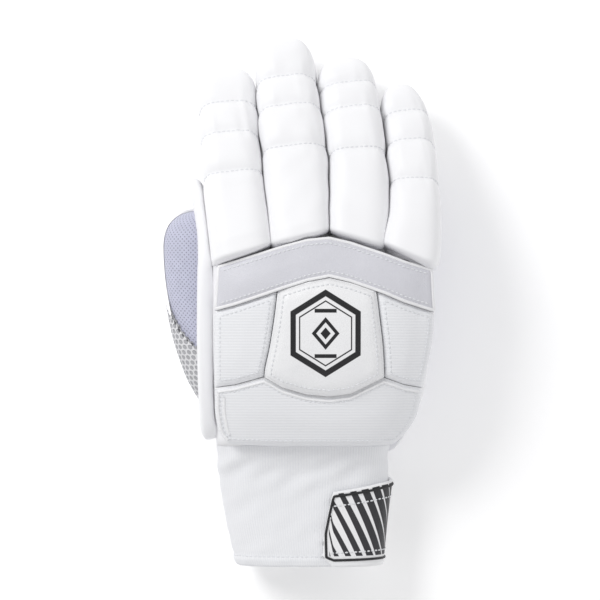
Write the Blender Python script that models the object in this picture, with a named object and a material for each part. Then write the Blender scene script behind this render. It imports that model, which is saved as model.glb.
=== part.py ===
"""Cricket batting glove for the right hand, lying palm down with its thumb folded under the palm.

Frame: +Y runs from the cuff's mouth to the fingertips, +X to the little finger and +Z up from the
surface it rests on. The hand's hollow runs from the cuff through the palm into each finger and
the thumb. Lengths are in metres.
"""

import bpy
import numpy as np
from mathutils import Matrix

GLOVE_LENGTH = 0.268
HAND_WIDTH = 0.108
REST_HEIGHT = 0.053
LEATHER_WALL = 0.0016
BACK_WALL = 0.0020
CUFF_WALL = 0.0026
PAD_GAP = 0.0004
PAD_SEAT = 0.0007
PAD_JOINT = 0.0016
SEAM_GAP = 0.0004
ROLL_GAP = 0.0012

BACK_RISE = 0.0150
PALM_DROP = 0.0120
FINGER_HALF_WIDTH = 0.0125
FINGER_RISE = 0.0110
FINGER_DROP = 0.0108
TIP_HEIGHT = 0.0085
CAP_LENGTH = 0.042
CAP_WALL = 0.0036

ROLL_PAD = 0.0145
ROLL_SEAT = 0.0009
ROLL_GROOVE = 0.0032
ROLL_GROOVE_WIDTH = 0.0026
CENTRE_PAD_THICK = 0.0150
SIDE_PAD_THICK = 0.0125
LOWER_PAD_THICK = 0.0105
BAND_THICK = 0.0135
BAR_HALF_WIDTH = 0.0034
BAR_HALF_HEIGHT = 0.0080

CUFF_LENGTH = 0.0604
STRAP_WIDTH = 0.0545
STRAP_THICK = 0.0022
STRAP_GAP = 0.0010
LOOP_WIDTH = 0.0090
LOOP_THICK = 0.0020

THUMB_HALF_WIDTH = 0.0215
THUMB_HALF_HEIGHT = 0.0115
THUMB_WALL = 0.0018
THUMB_PAD_THICK = 0.0162
THUMB_PRESS = 0.0022  # how much of the pad the glove's weight presses flat
THUMB_TIP = 0.180
THUMB_FOOT = 0.082
THUMB_MOUTH = 0.100
STALL_FOOT = 0.066
TIP_ROUNDING = 0.020
FOOT_ROUNDING = 0.036
PAD_BEYOND = 0.005
MESH_THICK = 0.0018
MESH_REACH = 0.54  # how far the gusset runs along the thumb, of its closed length

ARC = 9  # points across one finger's back
TIP_POWER = 2.9  # how square the thumb's end is; 2 is round


def table(columns, rows, scale):
    """A table of named columns, each a share of the size in scale (one size, or one a column)."""
    names = columns.split()
    values = np.array(rows) * scale
    return {name: values[:, i] for i, name in enumerate(names)}


def smooth(at, known, values):
    """Values at the given places: a cubic through the known ones, level with the chords' mean."""
    at = np.atleast_1d(np.asarray(at, float))
    slopes = np.gradient(values, known)
    i = np.clip(np.searchsorted(known, at) - 1, 0, len(known) - 2)
    span = known[i + 1] - known[i]
    t = (at - known[i]) / span
    inside = np.clip(t, 0.0, 1.0)
    beyond = (t - inside) * span
    a, b = inside**2 * (3 - 2 * inside), inside * (1 - inside) ** 2
    c = inside**2 * (inside - 1)
    value = values[i] * (1 - a) + values[i + 1] * a + span * (slopes[i] * b + slopes[i + 1] * c)
    return value + beyond * np.where(t > 1, slopes[i + 1], slopes[i])


L, W, H = GLOVE_LENGTH, HAND_WIDTH, REST_HEIGHT

# The hand part behind the fingers, a row for each section: where it is, its sides, its middle.
BODY = table("y left right middle", [
    (0.225, -0.394, 0.421, 0.59),
    (0.269, -0.403, 0.477, 0.71),
    (0.321, -0.409, 0.519, 0.82),
    (0.381, -0.413, 0.546, 0.92),
    (0.448, -0.415, 0.563, 0.98),
    (0.515, -0.413, 0.572, 1.00),
    (0.567, -0.409, 0.574, 0.985),
    (0.612, -0.411, 0.577, 0.95),
    (0.660, -0.411, 0.577, 0.90),
    (0.710, -0.411, 0.577, 0.83),
], (L, W, W, H))

# The lines between the finger rolls, from the index finger's outer side to the little finger's.
EDGES = table("y e0 e1 e2 e3 e4", [
    (0.560, -0.402, -0.126, 0.129, 0.369, 0.616),
    (0.597, -0.411, -0.131, 0.131, 0.380, 0.643),
    (0.672, -0.435, -0.156, 0.133, 0.411, 0.648),
    (0.746, -0.457, -0.175, 0.131, 0.406, 0.639),
    (0.821, -0.474, -0.192, 0.108, 0.389, 0.613),
    (0.896, -0.480, -0.206, 0.081, 0.363, 0.560),
    (0.951, -0.480, -0.212, 0.068, 0.339, 0.519),
], (L, W, W, W, W, W))

# Each finger: where it leaves the hand, where its roll ends, the roll's foot at its two sides
# and the three sewn lines across the roll, as shares of the length.
FINGERS = table("root end foot_left foot_right seam1 seam2 seam3", [
    (0.688, 0.921, 0.567, 0.594, 0.746, 0.824, 0.882),
    (0.709, 0.982, 0.598, 0.620, 0.795, 0.875, 0.931),
    (0.685, 0.942, 0.619, 0.598, 0.790, 0.873, 0.920),
    (0.655, 0.888, 0.590, 0.566, 0.734, 0.810, 0.866),
], L)
FINGER_NAMES = ("index", "middle", "ring", "little")

# How a finger sinks from its root to its tip, as shares of its length and of its whole fall.
CURL = table("along fall", [
    (0.0, 0.0), (0.25, 0.17), (0.5, 0.43), (0.75, 0.73), (1.0, 1.0),
], 1.0)

CUFF = table("y left right middle half_height", [
    (0.0, -0.306, 0.370, 0.415, 0.358),
    (0.2, -0.333, 0.380, 0.415, 0.358),
    (0.5, -0.366, 0.398, 0.423, 0.349),
    (0.75, -0.384, 0.415, 0.472, 0.330),
    (1.0, -0.394, 0.421, 0.589, 0.311),
], (CUFF_LENGTH - SEAM_GAP, W, W, H, H))

# The thumb's middle line in plan, and how far it dips below its straight run near the foot.
THUMB = table("y x dip", [
    (0.236, -0.222, 0.80), (0.306, -0.275, 0.12), (0.362, -0.330, 0.0), (0.429, -0.385, 0.0),
    (0.485, -0.414, 0.0), (0.541, -0.436, 0.0), (0.604, -0.445, 0.0), (0.679, -0.430, 0.0),
], (L, W, THUMB_HALF_HEIGHT))

# Lines on the back that part the pads: two sides and two joints, x for each y.
PAD_SIDES = table("y left inner outer right", [
    (0.224, -0.320, -0.170, 0.400, 0.425),
    (0.246, -0.372, -0.170, 0.390, 0.486),
    (0.276, -0.394, -0.168, 0.386, 0.537),
    (0.326, -0.400, -0.166, 0.386, 0.566),
    (0.366, -0.400, -0.164, 0.386, 0.586),
    (0.410, -0.400, -0.142, 0.380, 0.607),
    (0.470, -0.398, -0.118, 0.363, 0.622),
    (0.520, -0.390, -0.103, 0.347, 0.616),
], (L, W, W, W, W))

# The same across: the cuff's edge, the low pad's top, the band's two edges, y for each x.
PAD_RINGS = table("x cuff low band_low band_high", [
    (-0.411, 0.232, 0.336, 0.478, 0.561),
    (-0.300, 0.228, 0.343, 0.490, 0.574),
    (-0.166, 0.226, 0.358, 0.508, 0.591),
    (-0.080, 0.225, 0.338, 0.520, 0.602),
    (0.030, 0.225, 0.325, 0.534, 0.614),
    (0.133, 0.225, 0.321, 0.542, 0.618),
    (0.230, 0.225, 0.326, 0.533, 0.609),
    (0.386, 0.226, 0.357, 0.511, 0.588),
    (0.480, 0.228, 0.343, 0.495, 0.574),
    (0.628, 0.234, 0.332, 0.476, 0.556),
], (W, L, L, L, L))


def unit(v):
    return v / np.maximum(np.linalg.norm(v, axis=-1, keepdims=True), 1e-12)


def dome(at, start, end, power=2.3):
    """1 up to start, then a rounded fall to nearly 0 at the end."""
    t = np.clip((at - start) / (end - start), 0.0, 0.96)
    return (1 - t**power) ** (1 / power)


def material(name, colour, roughness):
    made = bpy.data.materials.new(name)
    made.use_nodes = True
    made.diffuse_color = (*colour, 1.0)
    shader = made.node_tree.nodes["Principled BSDF"]
    shader.inputs["Base Color"].default_value = (*colour, 1.0)
    shader.inputs["Roughness"].default_value = roughness
    shader.inputs["Metallic"].default_value = 0.0
    return made


def add(name, points, faces, look):
    """One closed mesh object, turned to face outwards."""
    points = np.asarray(points, float).reshape(-1, 3)
    fans = [(f[0], f[i], f[i + 1]) for f in faces for i in range(1, len(f) - 1)]
    corners = points[np.array(fans)]
    volume = np.einsum("ij,ij->i", corners[:, 0], np.cross(corners[:, 1], corners[:, 2])).sum()
    if volume < 0:
        faces = [tuple(reversed(f)) for f in faces]
    mesh = bpy.data.meshes.new(name)
    mesh.from_pydata([tuple(p) for p in points], [], [tuple(int(i) for i in f) for f in faces])
    mesh.shade_smooth()
    mesh.set_sharp_from_angle(angle=np.radians(40))
    mesh.materials.append(look)
    thing = bpy.data.objects.new(name, mesh)
    bpy.context.collection.objects.link(thing)
    return thing


def cells(index, round_u=False):
    """Quads between neighbouring rows and columns of a grid of point numbers; -1 has no point."""
    if round_u:
        index = np.concatenate([index, index[:, :1]], axis=1)
    quads = np.stack([index[:-1, :-1], index[:-1, 1:], index[1:, 1:], index[1:, :-1]], axis=-1)
    quads = quads.reshape(-1, 4)
    return quads[(quads >= 0).all(axis=1)]


def thicken(name, outer, inner, quads, look):
    """Two like skins and the rim that joins them along every free edge."""
    quads = np.asarray(quads)
    count = len(outer)
    faces = [tuple(q) for q in quads] + [tuple(q[::-1] + count) for q in quads]
    directed = {(q[i], q[(i + 1) % 4]) for q in quads.tolist() for i in range(4)}
    for a, b in sorted(directed):
        if (b, a) not in directed:
            faces.append((b, a, a + count, b + count))
    used = np.unique(np.array([i for f in faces for i in f]))
    renumber = {int(old): new for new, old in enumerate(used)}
    points = np.concatenate([outer, inner])[used]
    return add(name, points, [tuple(renumber[int(i)] for i in f) for f in faces], look)


def normals(grid, round_u=False):
    """Normals of a grid of points (rows, columns, 3)."""
    if round_u:
        wide = np.concatenate([grid[:, -1:], grid, grid[:, :1]], axis=1)
        across = wide[:, 2:] - wide[:, :-2]
    else:
        across = np.gradient(grid, axis=1)
    return unit(np.cross(across, np.gradient(grid, axis=0)))


def spine(y):
    return smooth(y, BODY["y"], BODY["middle"])


def finger_edges(i, y):
    return smooth(y, EDGES["y"], EDGES[f"e{i}"]), smooth(y, EDGES["y"], EDGES[f"e{i + 1}"])


def finger_line(i, y):
    """The finger's middle line: level with the hand up to its root, then curling to the floor."""
    root, end = FINGERS["root"][i], FINGERS["end"][i]
    left, right = finger_edges(i, y)
    top = spine(root)
    share = np.clip((y - root) / (end - root), 0.0, 1.1)
    fall = smooth(share, CURL["along"], CURL["fall"])
    z = np.where(y <= root, spine(y), top + (TIP_HEIGHT - top) * fall)
    return np.stack([(left + right) / 2, y, z], axis=1)


def arc(half_width, rise, count=ARC, power=2.0):
    """Half a superellipse from its left end over the top to its right end: (across, up)."""
    angle = np.linspace(np.pi, 0.0, count)
    c, s = np.cos(angle), np.sin(angle)
    across = half_width * np.sign(c) * np.abs(c) ** (2 / power)
    return np.stack([across, rise * np.abs(s) ** (2 / power)], axis=1)


def finger_frames(i, y):
    """The finger's middle line at y, with its sideways and upward directions there."""
    step = 0.0005
    tangent = unit(finger_line(i, y + step) - finger_line(i, y - step))
    side = unit(np.cross(tangent, np.array([0.0, 0.0, 1.0])))
    return finger_line(i, y), side, np.cross(side, tangent)


def finger_width(i):
    left, right = finger_edges(i, FINGERS["root"][i] + 0.25 * (FINGERS["end"][i] - FINGERS["root"][i]))
    return float(min(FINGER_HALF_WIDTH, (right - left)[0] / 2 - 0.0018))


def finger_rows(i, side, wall, shares):
    """Half sections of a finger at shares of its length; side is 1 for the back, -1 for the front."""
    root, end = FINGERS["root"][i], FINGERS["end"][i] - 0.006
    y = root + np.asarray(shares) * (end - root)
    line, across, up = finger_frames(i, y)
    shrink = dome(y, end - 0.011, end + 0.001)
    rise = FINGER_RISE if side > 0 else FINGER_DROP
    flat = arc(finger_width(i) - wall, rise - wall)
    lift = SEAM_GAP / 2 * side
    return (
        line[:, None]
        + across[:, None] * (flat[None, :, :1] * shrink[:, None, None])
        + up[:, None] * (lift + side * flat[None, :, 1:] * shrink[:, None, None])
    )


SMOOTH_ROWS = np.append(CUFF_LENGTH, np.array([0.269, 0.321, 0.381, 0.448, 0.515, 0.560, 0.600]) * L)
BLEND = (0.45, 0.8)


def hand_section(y, across, side, wall):
    """Heights of the hand part's skin at one y, for places across it."""
    left = smooth(y, BODY["y"], BODY["left"]) + wall
    right = smooth(y, BODY["y"], BODY["right"]) - wall
    share = np.clip((2 * across - left - right) / (right - left), -1.0, 1.0)
    rise = (BACK_RISE if side > 0 else PALM_DROP) - wall
    bulge = (1 - np.abs(share) ** 2.8) ** (1 / 2.8)
    return spine(y) + side * (SEAM_GAP / 2 + rise * bulge)


def front_reach(i):
    """Share of a finger's length at which its leather front ends and its cap begins."""
    root, end = FINGERS["root"][i], FINGERS["end"][i]
    return (end - CAP_LENGTH - SEAM_GAP - root) / (end - 0.006 - root)


def back_shares(i):
    """Shares of a finger's length where the sections of its back stand."""
    reach = front_reach(i)
    return (0.0, reach, (reach + 0.84) / 2, 0.84, 0.96)


def comb(side, wall, shares):
    """The hand part and its four fingers as one comb of points, with its grid of point numbers."""
    fingers = [finger_rows(i, side, wall, shares[i]) for i in range(4)]
    crotch = np.concatenate([rows[0][:-1] for rows in fingers] + [fingers[3][0][-1:]])
    for i in range(1, 4):
        middle = (fingers[i - 1][0][-1] + fingers[i][0][0]) / 2
        middle[1] -= 1.2 * wall
        middle[2] = spine(middle[1])[0] + side * SEAM_GAP / 2
        crotch[i * (ARC - 1)] = middle
    share = (crotch[:, 0] - crotch[0, 0]) / (crotch[-1, 0] - crotch[0, 0])
    rows = []
    for y in SMOOTH_ROWS:
        left = smooth(y, BODY["y"], BODY["left"]) + wall
        right = smooth(y, BODY["y"], BODY["right"]) - wall
        x = left + share * (right - left)
        rows.append(np.stack([x, np.full_like(x, y), hand_section(y, x, side, wall)], axis=1))
    last = rows[-1]
    for t in BLEND:
        rows.append(last * (1 - t) + crotch * t)
    rows.append(crotch)
    palm = np.array(rows)
    points = [palm.reshape(-1, 3)]
    number = np.arange(palm.shape[0] * palm.shape[1]).reshape(palm.shape[:2])
    quads = [cells(number)]
    count = number.size
    strips = []
    for i, finger in enumerate(fingers):
        columns = slice(i * (ARC - 1), (i + 1) * (ARC - 1) + 1)
        more = np.arange(finger[1:, :, 0].size).reshape(-1, ARC) + count
        count += more.size
        points.append(finger[1:].reshape(-1, 3))
        quads.append(cells(np.concatenate([number[-1:, columns], more])))
        strips.append(np.concatenate([palm[:, columns], finger[1:]]))
    return np.concatenate(points), np.concatenate(quads), strips, number


def back_height(x, y):
    """Top of the hand's back under the pads, level with the skin's own straight rows."""
    y = np.clip(y, SMOOTH_ROWS[0], SMOOTH_ROWS[-1])
    heights = []
    for row in SMOOTH_ROWS:
        left, right = (smooth(row, BODY["y"], BODY[k]) for k in ("left", "right"))
        middle = (left + right) / 2
        inside = np.clip((x - middle) / (right - left) * 2, -0.93, 0.93)
        heights.append(hand_section(row, middle + inside * (right - left) / 2, 1, 0.0))
    heights = np.array(heights)
    k = np.clip(np.searchsorted(SMOOTH_ROWS, y) - 1, 0, len(SMOOTH_ROWS) - 2)
    t = (y - SMOOTH_ROWS[k]) / (SMOOTH_ROWS[k + 1] - SMOOTH_ROWS[k])
    pick = np.indices(x.shape)
    return heights[(k, *pick)] * (1 - t) + heights[(k + 1, *pick)] * t


def steps(count):
    """Places from 0 to 1, closer together near both ends."""
    t = np.linspace(-1.0, 1.0, count)
    return (1 + np.sign(t) * (1 - (1 - np.abs(t)) ** 1.7)) / 2


def pad(name, left, right, low, high, thick, look, wide=9, long=9, rim=0.35):
    """A padded panel on the hand's back between two side lines and two cross lines."""
    u, v = np.meshgrid(steps(wide), steps(long))
    y = np.full_like(u, (PAD_RINGS[low].mean() + PAD_RINGS[high].mean()) / 2)
    for _ in range(6):
        x0 = np.interp(y, PAD_SIDES["y"], PAD_SIDES[left]) + PAD_JOINT / 2
        x1 = np.interp(y, PAD_SIDES["y"], PAD_SIDES[right]) - PAD_JOINT / 2
        x = x0 + u * (x1 - x0)
        y0 = np.interp(x, PAD_RINGS["x"], PAD_RINGS[low]) + PAD_JOINT / 2
        y1 = np.interp(x, PAD_RINGS["x"], PAD_RINGS[high]) - PAD_JOINT / 2
        y = y0 + v * (y1 - y0)
    foot = back_height(x, y) + PAD_SEAT
    crown = ((1 - np.abs(2 * u - 1) ** 3.0) * (1 - np.abs(2 * v - 1) ** 3.0)) ** 0.5
    top = foot + thick * (rim + (1 - rim) * crown)
    quads = cells(np.arange(u.size).reshape(u.shape))
    upper = np.stack([x, y, top], axis=2).reshape(-1, 3)
    lower = np.stack([x, y, foot], axis=2).reshape(-1, 3)
    return thicken(name, upper, lower, quads, look)


def closed_tube(name, sections, look):
    """A solid through closed sections (rows, columns, 3), its two ends filled."""
    rows, columns = sections.shape[:2]
    faces = [tuple(q) for q in cells(np.arange(rows * columns).reshape(rows, columns), True)]
    for first, flip in ((0, 1), ((rows - 1) * columns, -1)):
        ring = list(range(first, first + columns))
        for a in range(columns // 2 - 1):
            b = columns - 1 - a
            face = [ring[a], ring[b], ring[b - 1], ring[a + 1]]
            faces.append(tuple(face[::flip]))
    return add(name, sections, faces, look)


def horseshoe(core, line, across, up, half_width, height):
    """Sections of a padded roll that sits on a core strip of points, along a middle line.

    Each section runs over the pad from left to right and back under it along the core.
    """
    sections = []
    for k in range(len(line)):
        local = core[k] - line[k]
        ends = local[[0, -1]] @ up[k] + PAD_GAP * 3
        shape = arc(half_width[k], 1.0, power=2.8)
        base = np.linspace(ends[0], ends[1], len(shape))
        over = (
            line[k]
            + across[k] * shape[:, :1]
            + up[k] * (base + (height[k] - base) * shape[:, 1])[:, None]
        )
        sections.append(np.concatenate([over, core[k][::-1]]))
    return np.array(sections)


def roll(i, strip, look):
    """The padded roll along a finger's back and over its tip, pinched at its sewn lines."""
    root, end = FINGERS["root"][i], FINGERS["end"][i]
    strip = strip[:, 1:-1] + normals(strip)[:, 1:-1] * ROLL_SEAT
    foot = (FINGERS["foot_left"][i] + FINGERS["foot_right"][i]) / 2
    slant = (FINGERS["foot_right"][i] - FINGERS["foot_left"][i]) / 2
    seams = np.array([FINGERS[f"seam{k}"][i] for k in (1, 2, 3)])
    fine = np.linspace(foot - 0.01, end, 160)
    line, _, up = finger_frames(i, fine)
    tall = np.interp(fine, [root - 0.02, root], [BACK_RISE, FINGER_RISE]) + ROLL_PAD
    top_y = line[:, 1] + up[:, 1] * tall
    seam_at = np.interp(seams, top_y, fine)
    start = foot
    near = ROLL_GROOVE_WIDTH * 1.6
    at = [start, start + 0.003]
    for s in seam_at:
        at += [s - near, s, s + near]
    rows = strip[:, :, 1].mean(axis=1)
    at += list(end - np.array([0.0085, 0.0045, 0.0015, 0.0]))
    at = [a for a in at if np.abs(rows - a).min() > 0.0012 and a <= end]
    at = np.sort(at + [r for r in rows if r > start + 0.0005])
    line_at, across, up = finger_frames(i, at)
    shape = dome(at, end - 0.020, end + 0.0004, 2.6) * np.interp(at, [start, start + 0.005], [0.9, 1.0])
    left, right = finger_edges(i, at)
    half = ((right - left) / 2 - ROLL_GAP / 2) * shape
    height = np.interp(at, fine, tall)
    groove = sum(np.exp(-(((at - s) / ROLL_GROOVE_WIDTH) ** 2)) for s in seam_at)
    height = (height - ROLL_GROOVE * groove) * shape
    height *= np.interp(at, [start, start + 0.003, start + 0.010], [0.78, 0.93, 1.0])
    fade = np.clip(1 - (at - start) / 0.03, 0.0, 1.0)
    lean = -np.cos(np.pi * np.arange(1, ARC - 1) / (ARC - 1))
    core = np.stack([
        np.stack([np.interp(at + slant * fade * lean[c], rows, strip[:, c, a]) for a in range(3)], axis=1)
        for c in range(strip.shape[1])
    ], axis=1)
    last = rows[-1]
    tail = strip[-1] - finger_line(i, np.array([last]))[0]
    for k in np.nonzero(at > last)[0]:
        core[k] = line_at[k] + tail * 0.9
    turn = np.clip((at - start) / 0.030, 0.0, 1.0)[:, None]
    up = unit(up * turn + np.array([0.0, 0.0, 1.0]) * (1 - turn))
    sections = horseshoe(core, line_at, across, up, half, height)
    share = (sections[:, :, 0] - line_at[:, None, 0]) / half[:, None]
    over = slice(0, ARC)
    sections[:, over, 1] += (slant * fade[:, None] * share)[:, over]
    closed_tube(f"{FINGER_NAMES[i]}_roll", sections, look)


def cap(i, look):
    """The padded front of a fingertip: an open half dome under the roll's end."""
    end = FINGERS["end"][i]
    start = end - CAP_LENGTH
    root = FINGERS["root"][i]
    y = np.concatenate([
        [start],
        root + np.array(back_shares(i)[2:]) * (end - 0.006 - root),
        end - np.array([0.0045, 0.0015, 0.0004]),
    ])
    line, across, up = finger_frames(i, y)
    left, right = finger_edges(i, y)
    skins = []
    for wall in (0.0, CAP_WALL):
        shrink = dome(y, end - 0.020, end + 0.0004, 2.6)
        half = np.maximum(((right - left) / 2 - 0.0012) * shrink - wall, 0.0025)
        half = np.where(wall > 0, np.minimum(half, finger_width(i) - LEATHER_WALL), half)
        deep = np.maximum((FINGER_DROP + 0.0032) * shrink - wall, 0.0015)
        shape = arc(1.0, 1.0)
        grid = (
            line[:, None]
            + across[:, None] * (shape[None, :, :1] * half[:, None, None])
            - up[:, None] * (SEAM_GAP / 2 + shape[None, :, 1:] * deep[:, None, None])
        )
        grid[:, :, 2] = np.maximum(grid[:, :, 2], wall * 0.8)
        skins.append(grid.reshape(-1, 3))
    quads = cells(np.arange(len(skins[0])).reshape(len(y), ARC))
    thicken(f"{FINGER_NAMES[i]}_cap", skins[0], skins[1], quads, look)


ROUND = 20  # points round the thumb and the cuff


def ring(half_width, half_height, power=2.2, count=ROUND):
    """A closed superellipse, from its left side over the top and back: (across, up)."""
    angle = np.pi - np.arange(count) * 2 * np.pi / count
    c, s = np.cos(angle), np.sin(angle)
    return np.stack([
        half_width * np.sign(c) * np.abs(c) ** (2 / power),
        half_height * np.sign(s) * np.abs(s) ** (2 / power),
    ], axis=1)


MOUTH_SHARES = np.array([0.0, 0.235, 0.53])  # of the open stretch, from the stall's foot
TUBE_SHARES = np.array([0.0, 0.175, 0.375, 0.6, 0.79, 0.91, 0.9875])  # of the closed one
THUMB_Y = np.append(
    STALL_FOOT + MOUTH_SHARES * (THUMB_MOUTH - STALL_FOOT),
    THUMB_MOUTH + TUBE_SHARES * (THUMB_TIP - THUMB_MOUTH),
)
THUMB_Z = THUMB_PAD_THICK - THUMB_PRESS + PAD_GAP + THUMB_HALF_HEIGHT


def palm_underside(x, y):
    """Lowest skin of the hand's palm at a place."""
    rows = np.array([hand_section(row, x, -1, 0.0) for row in SMOOTH_ROWS])
    return np.array([np.interp(v, SMOOTH_ROWS, rows[:, k]) for k, v in enumerate(np.broadcast_to(y, x.shape))])


def thumb_rings(grow, y=THUMB_Y):
    """Sections of the thumb's stall, larger or smaller than its outer skin by grow."""
    x = smooth(y, THUMB["y"], THUMB["x"])
    middle = THUMB_Z - np.interp(y, THUMB["y"], THUMB["dip"])
    foot = STALL_FOOT - 0.1 * FOOT_ROUNDING
    size = dome(y, THUMB_TIP - TIP_ROUNDING, THUMB_TIP, TIP_POWER) * dome(-y, -foot - FOOT_ROUNDING, -foot, 2.0)
    grids = []
    for k, v in enumerate(y):
        shape = ring(THUMB_HALF_WIDTH * size[k] + grow, THUMB_HALF_HEIGHT * size[k] + grow)
        px = x[k] + shape[:, 0]
        pz = middle[k] + shape[:, 1]
        if v <= THUMB_MOUTH + 1e-6:
            pz = np.minimum(pz, palm_underside(px, v) - 0.0006 + min(grow, 0.0))
        grids.append(np.stack([px, np.full_like(px, v), pz], axis=1))
    return np.array(grids)


def thumb_stall(look):
    """The thumb's tube: closed round the thumb, open on top where it meets the palm."""
    outer, inner = thumb_rings(0.0), thumb_rings(-THUMB_WALL)
    inner[0, :, 1] += THUMB_WALL
    inner[-1, :, 1] -= THUMB_WALL
    number = np.arange(outer[:, :, 0].size).reshape(outer.shape[:2])
    open_rows = THUMB_Y <= THUMB_MOUTH + 1e-6
    keep = []
    for r in range(len(THUMB_Y) - 1):
        for c in range(ROUND):
            in_mouth = open_rows[r] and open_rows[r + 1] and 2 <= c < ROUND // 2 - 2
            if not in_mouth:
                d = (c + 1) % ROUND
                keep.append((number[r, c], number[r, d], number[r + 1, d], number[r + 1, c]))
    tip = number[-1]
    for c in range(ROUND // 2 - 1):
        d = ROUND - 1 - c
        keep.append((tip[c], tip[c + 1], tip[d - 1], tip[d]))
    thicken("thumb_stall", outer.reshape(-1, 3), inner.reshape(-1, 3), keep, look)


PAD_SHARES = np.array([
    0.0, 0.015, 0.058, 0.175, 0.32, 0.466, 0.641, 0.786, 0.864, 0.913, 0.952, 0.981, 0.995,
])  # of the thumb pad's length, where its sections stand


def thumb_pad(look):
    """The thumb's thick pad, under the stall and over its tip, flat where it meets the floor."""
    tip = THUMB_TIP + PAD_BEYOND
    y = THUMB_FOOT + PAD_SHARES * (tip - THUMB_FOOT)
    shape = dome(y, tip - 1.2 * TIP_ROUNDING, tip, TIP_POWER) * np.interp(PAD_SHARES, PAD_SHARES[[0, 2]], [0.9, 1.0])
    core_y = np.minimum(y, THUMB_Y[-1])
    skin = thumb_rings(PAD_SEAT, core_y)
    core = skin[:, ROUND // 2 + 1:][:, ::-1]
    core[:, :, 1] = y[:, None]
    x = smooth(y, THUMB["y"], THUMB["x"])
    line = np.stack([x, y, THUMB_Z - np.interp(y, THUMB["y"], THUMB["dip"])], axis=1)
    half = (THUMB_HALF_WIDTH + 0.0004) * shape
    height = (THUMB_HALF_HEIGHT + PAD_GAP + THUMB_PAD_THICK) * np.maximum(shape, 0.2)
    height *= np.interp(PAD_SHARES, PAD_SHARES[[0, 2]], [0.85, 1.0])
    level = np.ones((len(y), 1))
    across, down = level * np.array([1.0, 0.0, 0.0]), level * np.array([0.0, 0.0, -1.0])
    sections = horseshoe(core, line, across, down, half, height)
    sections[:, :, 2] = np.maximum(sections[:, :, 2], 0.0)
    closed_tube("thumb_pad", sections, look)


def thumb_mesh(look):
    """The airy gusset: round the stall's foot and up the thumb's outer side."""
    low = STALL_FOOT + PAD_SEAT
    high = THUMB_FOOT - PAD_SEAT
    y = np.append(
        low + np.array([0.0, 0.42]) * (high - low),
        high + np.array([0.0, 0.21, 0.43, 0.70, 1.0]) * (MESH_REACH * (THUMB_TIP - THUMB_FOOT)),
    )
    inner, outer = thumb_rings(PAD_GAP, y), thumb_rings(PAD_GAP + MESH_THICK, y)
    number = np.arange(outer[:, :, 0].size).reshape(outer.shape[:2])
    keep = []
    for r in range(len(y) - 1):
        for c in range(ROUND):
            foot = y[r + 1] < THUMB_FOOT and (c >= ROUND // 2 or c == 0)
            strip = c == 0 or (c == ROUND - 1 and y[r + 1] < THUMB_FOOT)
            if foot or strip:
                d = (c + 1) % ROUND
                keep.append((number[r, c], number[r, d], number[r + 1, d], number[r + 1, c]))
    thicken("thumb_mesh", outer.reshape(-1, 3), inner.reshape(-1, 3), keep, look)


def cuff_rings(y, grow, count=24):
    rows = {k: smooth(y, CUFF["y"], CUFF[k]) for k in CUFF}
    grids = []
    for k in range(len(y)):
        half = (rows["right"][k] - rows["left"][k]) / 2 + grow
        shape = ring(half, rows["half_height"][k] + grow, 2.5, count)
        x = (rows["right"][k] + rows["left"][k]) / 2 + shape[:, 0]
        z = rows["middle"][k] + shape[:, 1]
        grids.append(np.stack([x, np.full(count, y[k]), z], axis=1))
    return np.array(grids)


def cuff(look):
    y = np.array([0.0, 0.17, 0.37, 0.57, 0.77, 1.0]) * (CUFF_LENGTH - SEAM_GAP)
    outer, inner = cuff_rings(y, 0.0), cuff_rings(y, -CUFF_WALL)
    number = np.arange(outer[:, :, 0].size).reshape(outer.shape[:2])
    thicken("cuff", outer.reshape(-1, 3), inner.reshape(-1, 3), cells(number, True), look)


# The strap's two long edges round the cuff, from its end on the back (0) to its point (1).
STRAP = table("round low high", [
    (0.00, 0.073, 0.202), (0.026, 0.0, 0.661), (0.20, 0.0, 0.734), (0.46, 0.0, 0.789),
    (0.54, 0.018, 0.881), (0.60, 0.018, 1.0), (0.80, 0.0, 1.0), (0.88, 0.0, 0.807),
    (0.97, 0.037, 0.532), (1.00, 0.294, 0.440),
], (1.0, STRAP_WIDTH, STRAP_WIDTH))
STRAP_START = 6.6  # in steps of the cuff's points, from its thumb side over the back
STRAP_END = 22.3


def strap(look):
    """The closing strap, round the little finger's side of the wrist to a point on the palm."""
    turn = np.concatenate([[STRAP_START], np.arange(np.ceil(STRAP_START), STRAP_END), [STRAP_END]])
    u = (turn - STRAP_START) / (STRAP_END - STRAP_START)
    low = np.interp(u, STRAP["round"], STRAP["low"])
    high = np.interp(u, STRAP["round"], STRAP["high"])
    v = np.array([0.0, 0.2, 0.4, 0.6, 0.8, 1.0])
    count = 24
    skins = []
    for grow in (STRAP_GAP + STRAP_THICK, STRAP_GAP):
        grid = np.zeros((len(v), len(u), 3))
        for j in range(len(u)):
            y = low[j] + v * (high[j] - low[j])
            rings = cuff_rings(y, grow, count)
            k = int(turn[j]) % count
            t = turn[j] - int(turn[j])
            grid[:, j] = rings[:, k] * (1 - t) + rings[:, (k + 1) % count] * t
        grid[:, :, 2] = np.maximum(grid[:, :, 2], 0.0)
        skins.append(grid.reshape(-1, 3))
    quads = cells(np.arange(len(v) * len(u)).reshape(len(v), len(u)))
    thicken("strap", skins[0], skins[1], quads, look)


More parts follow.
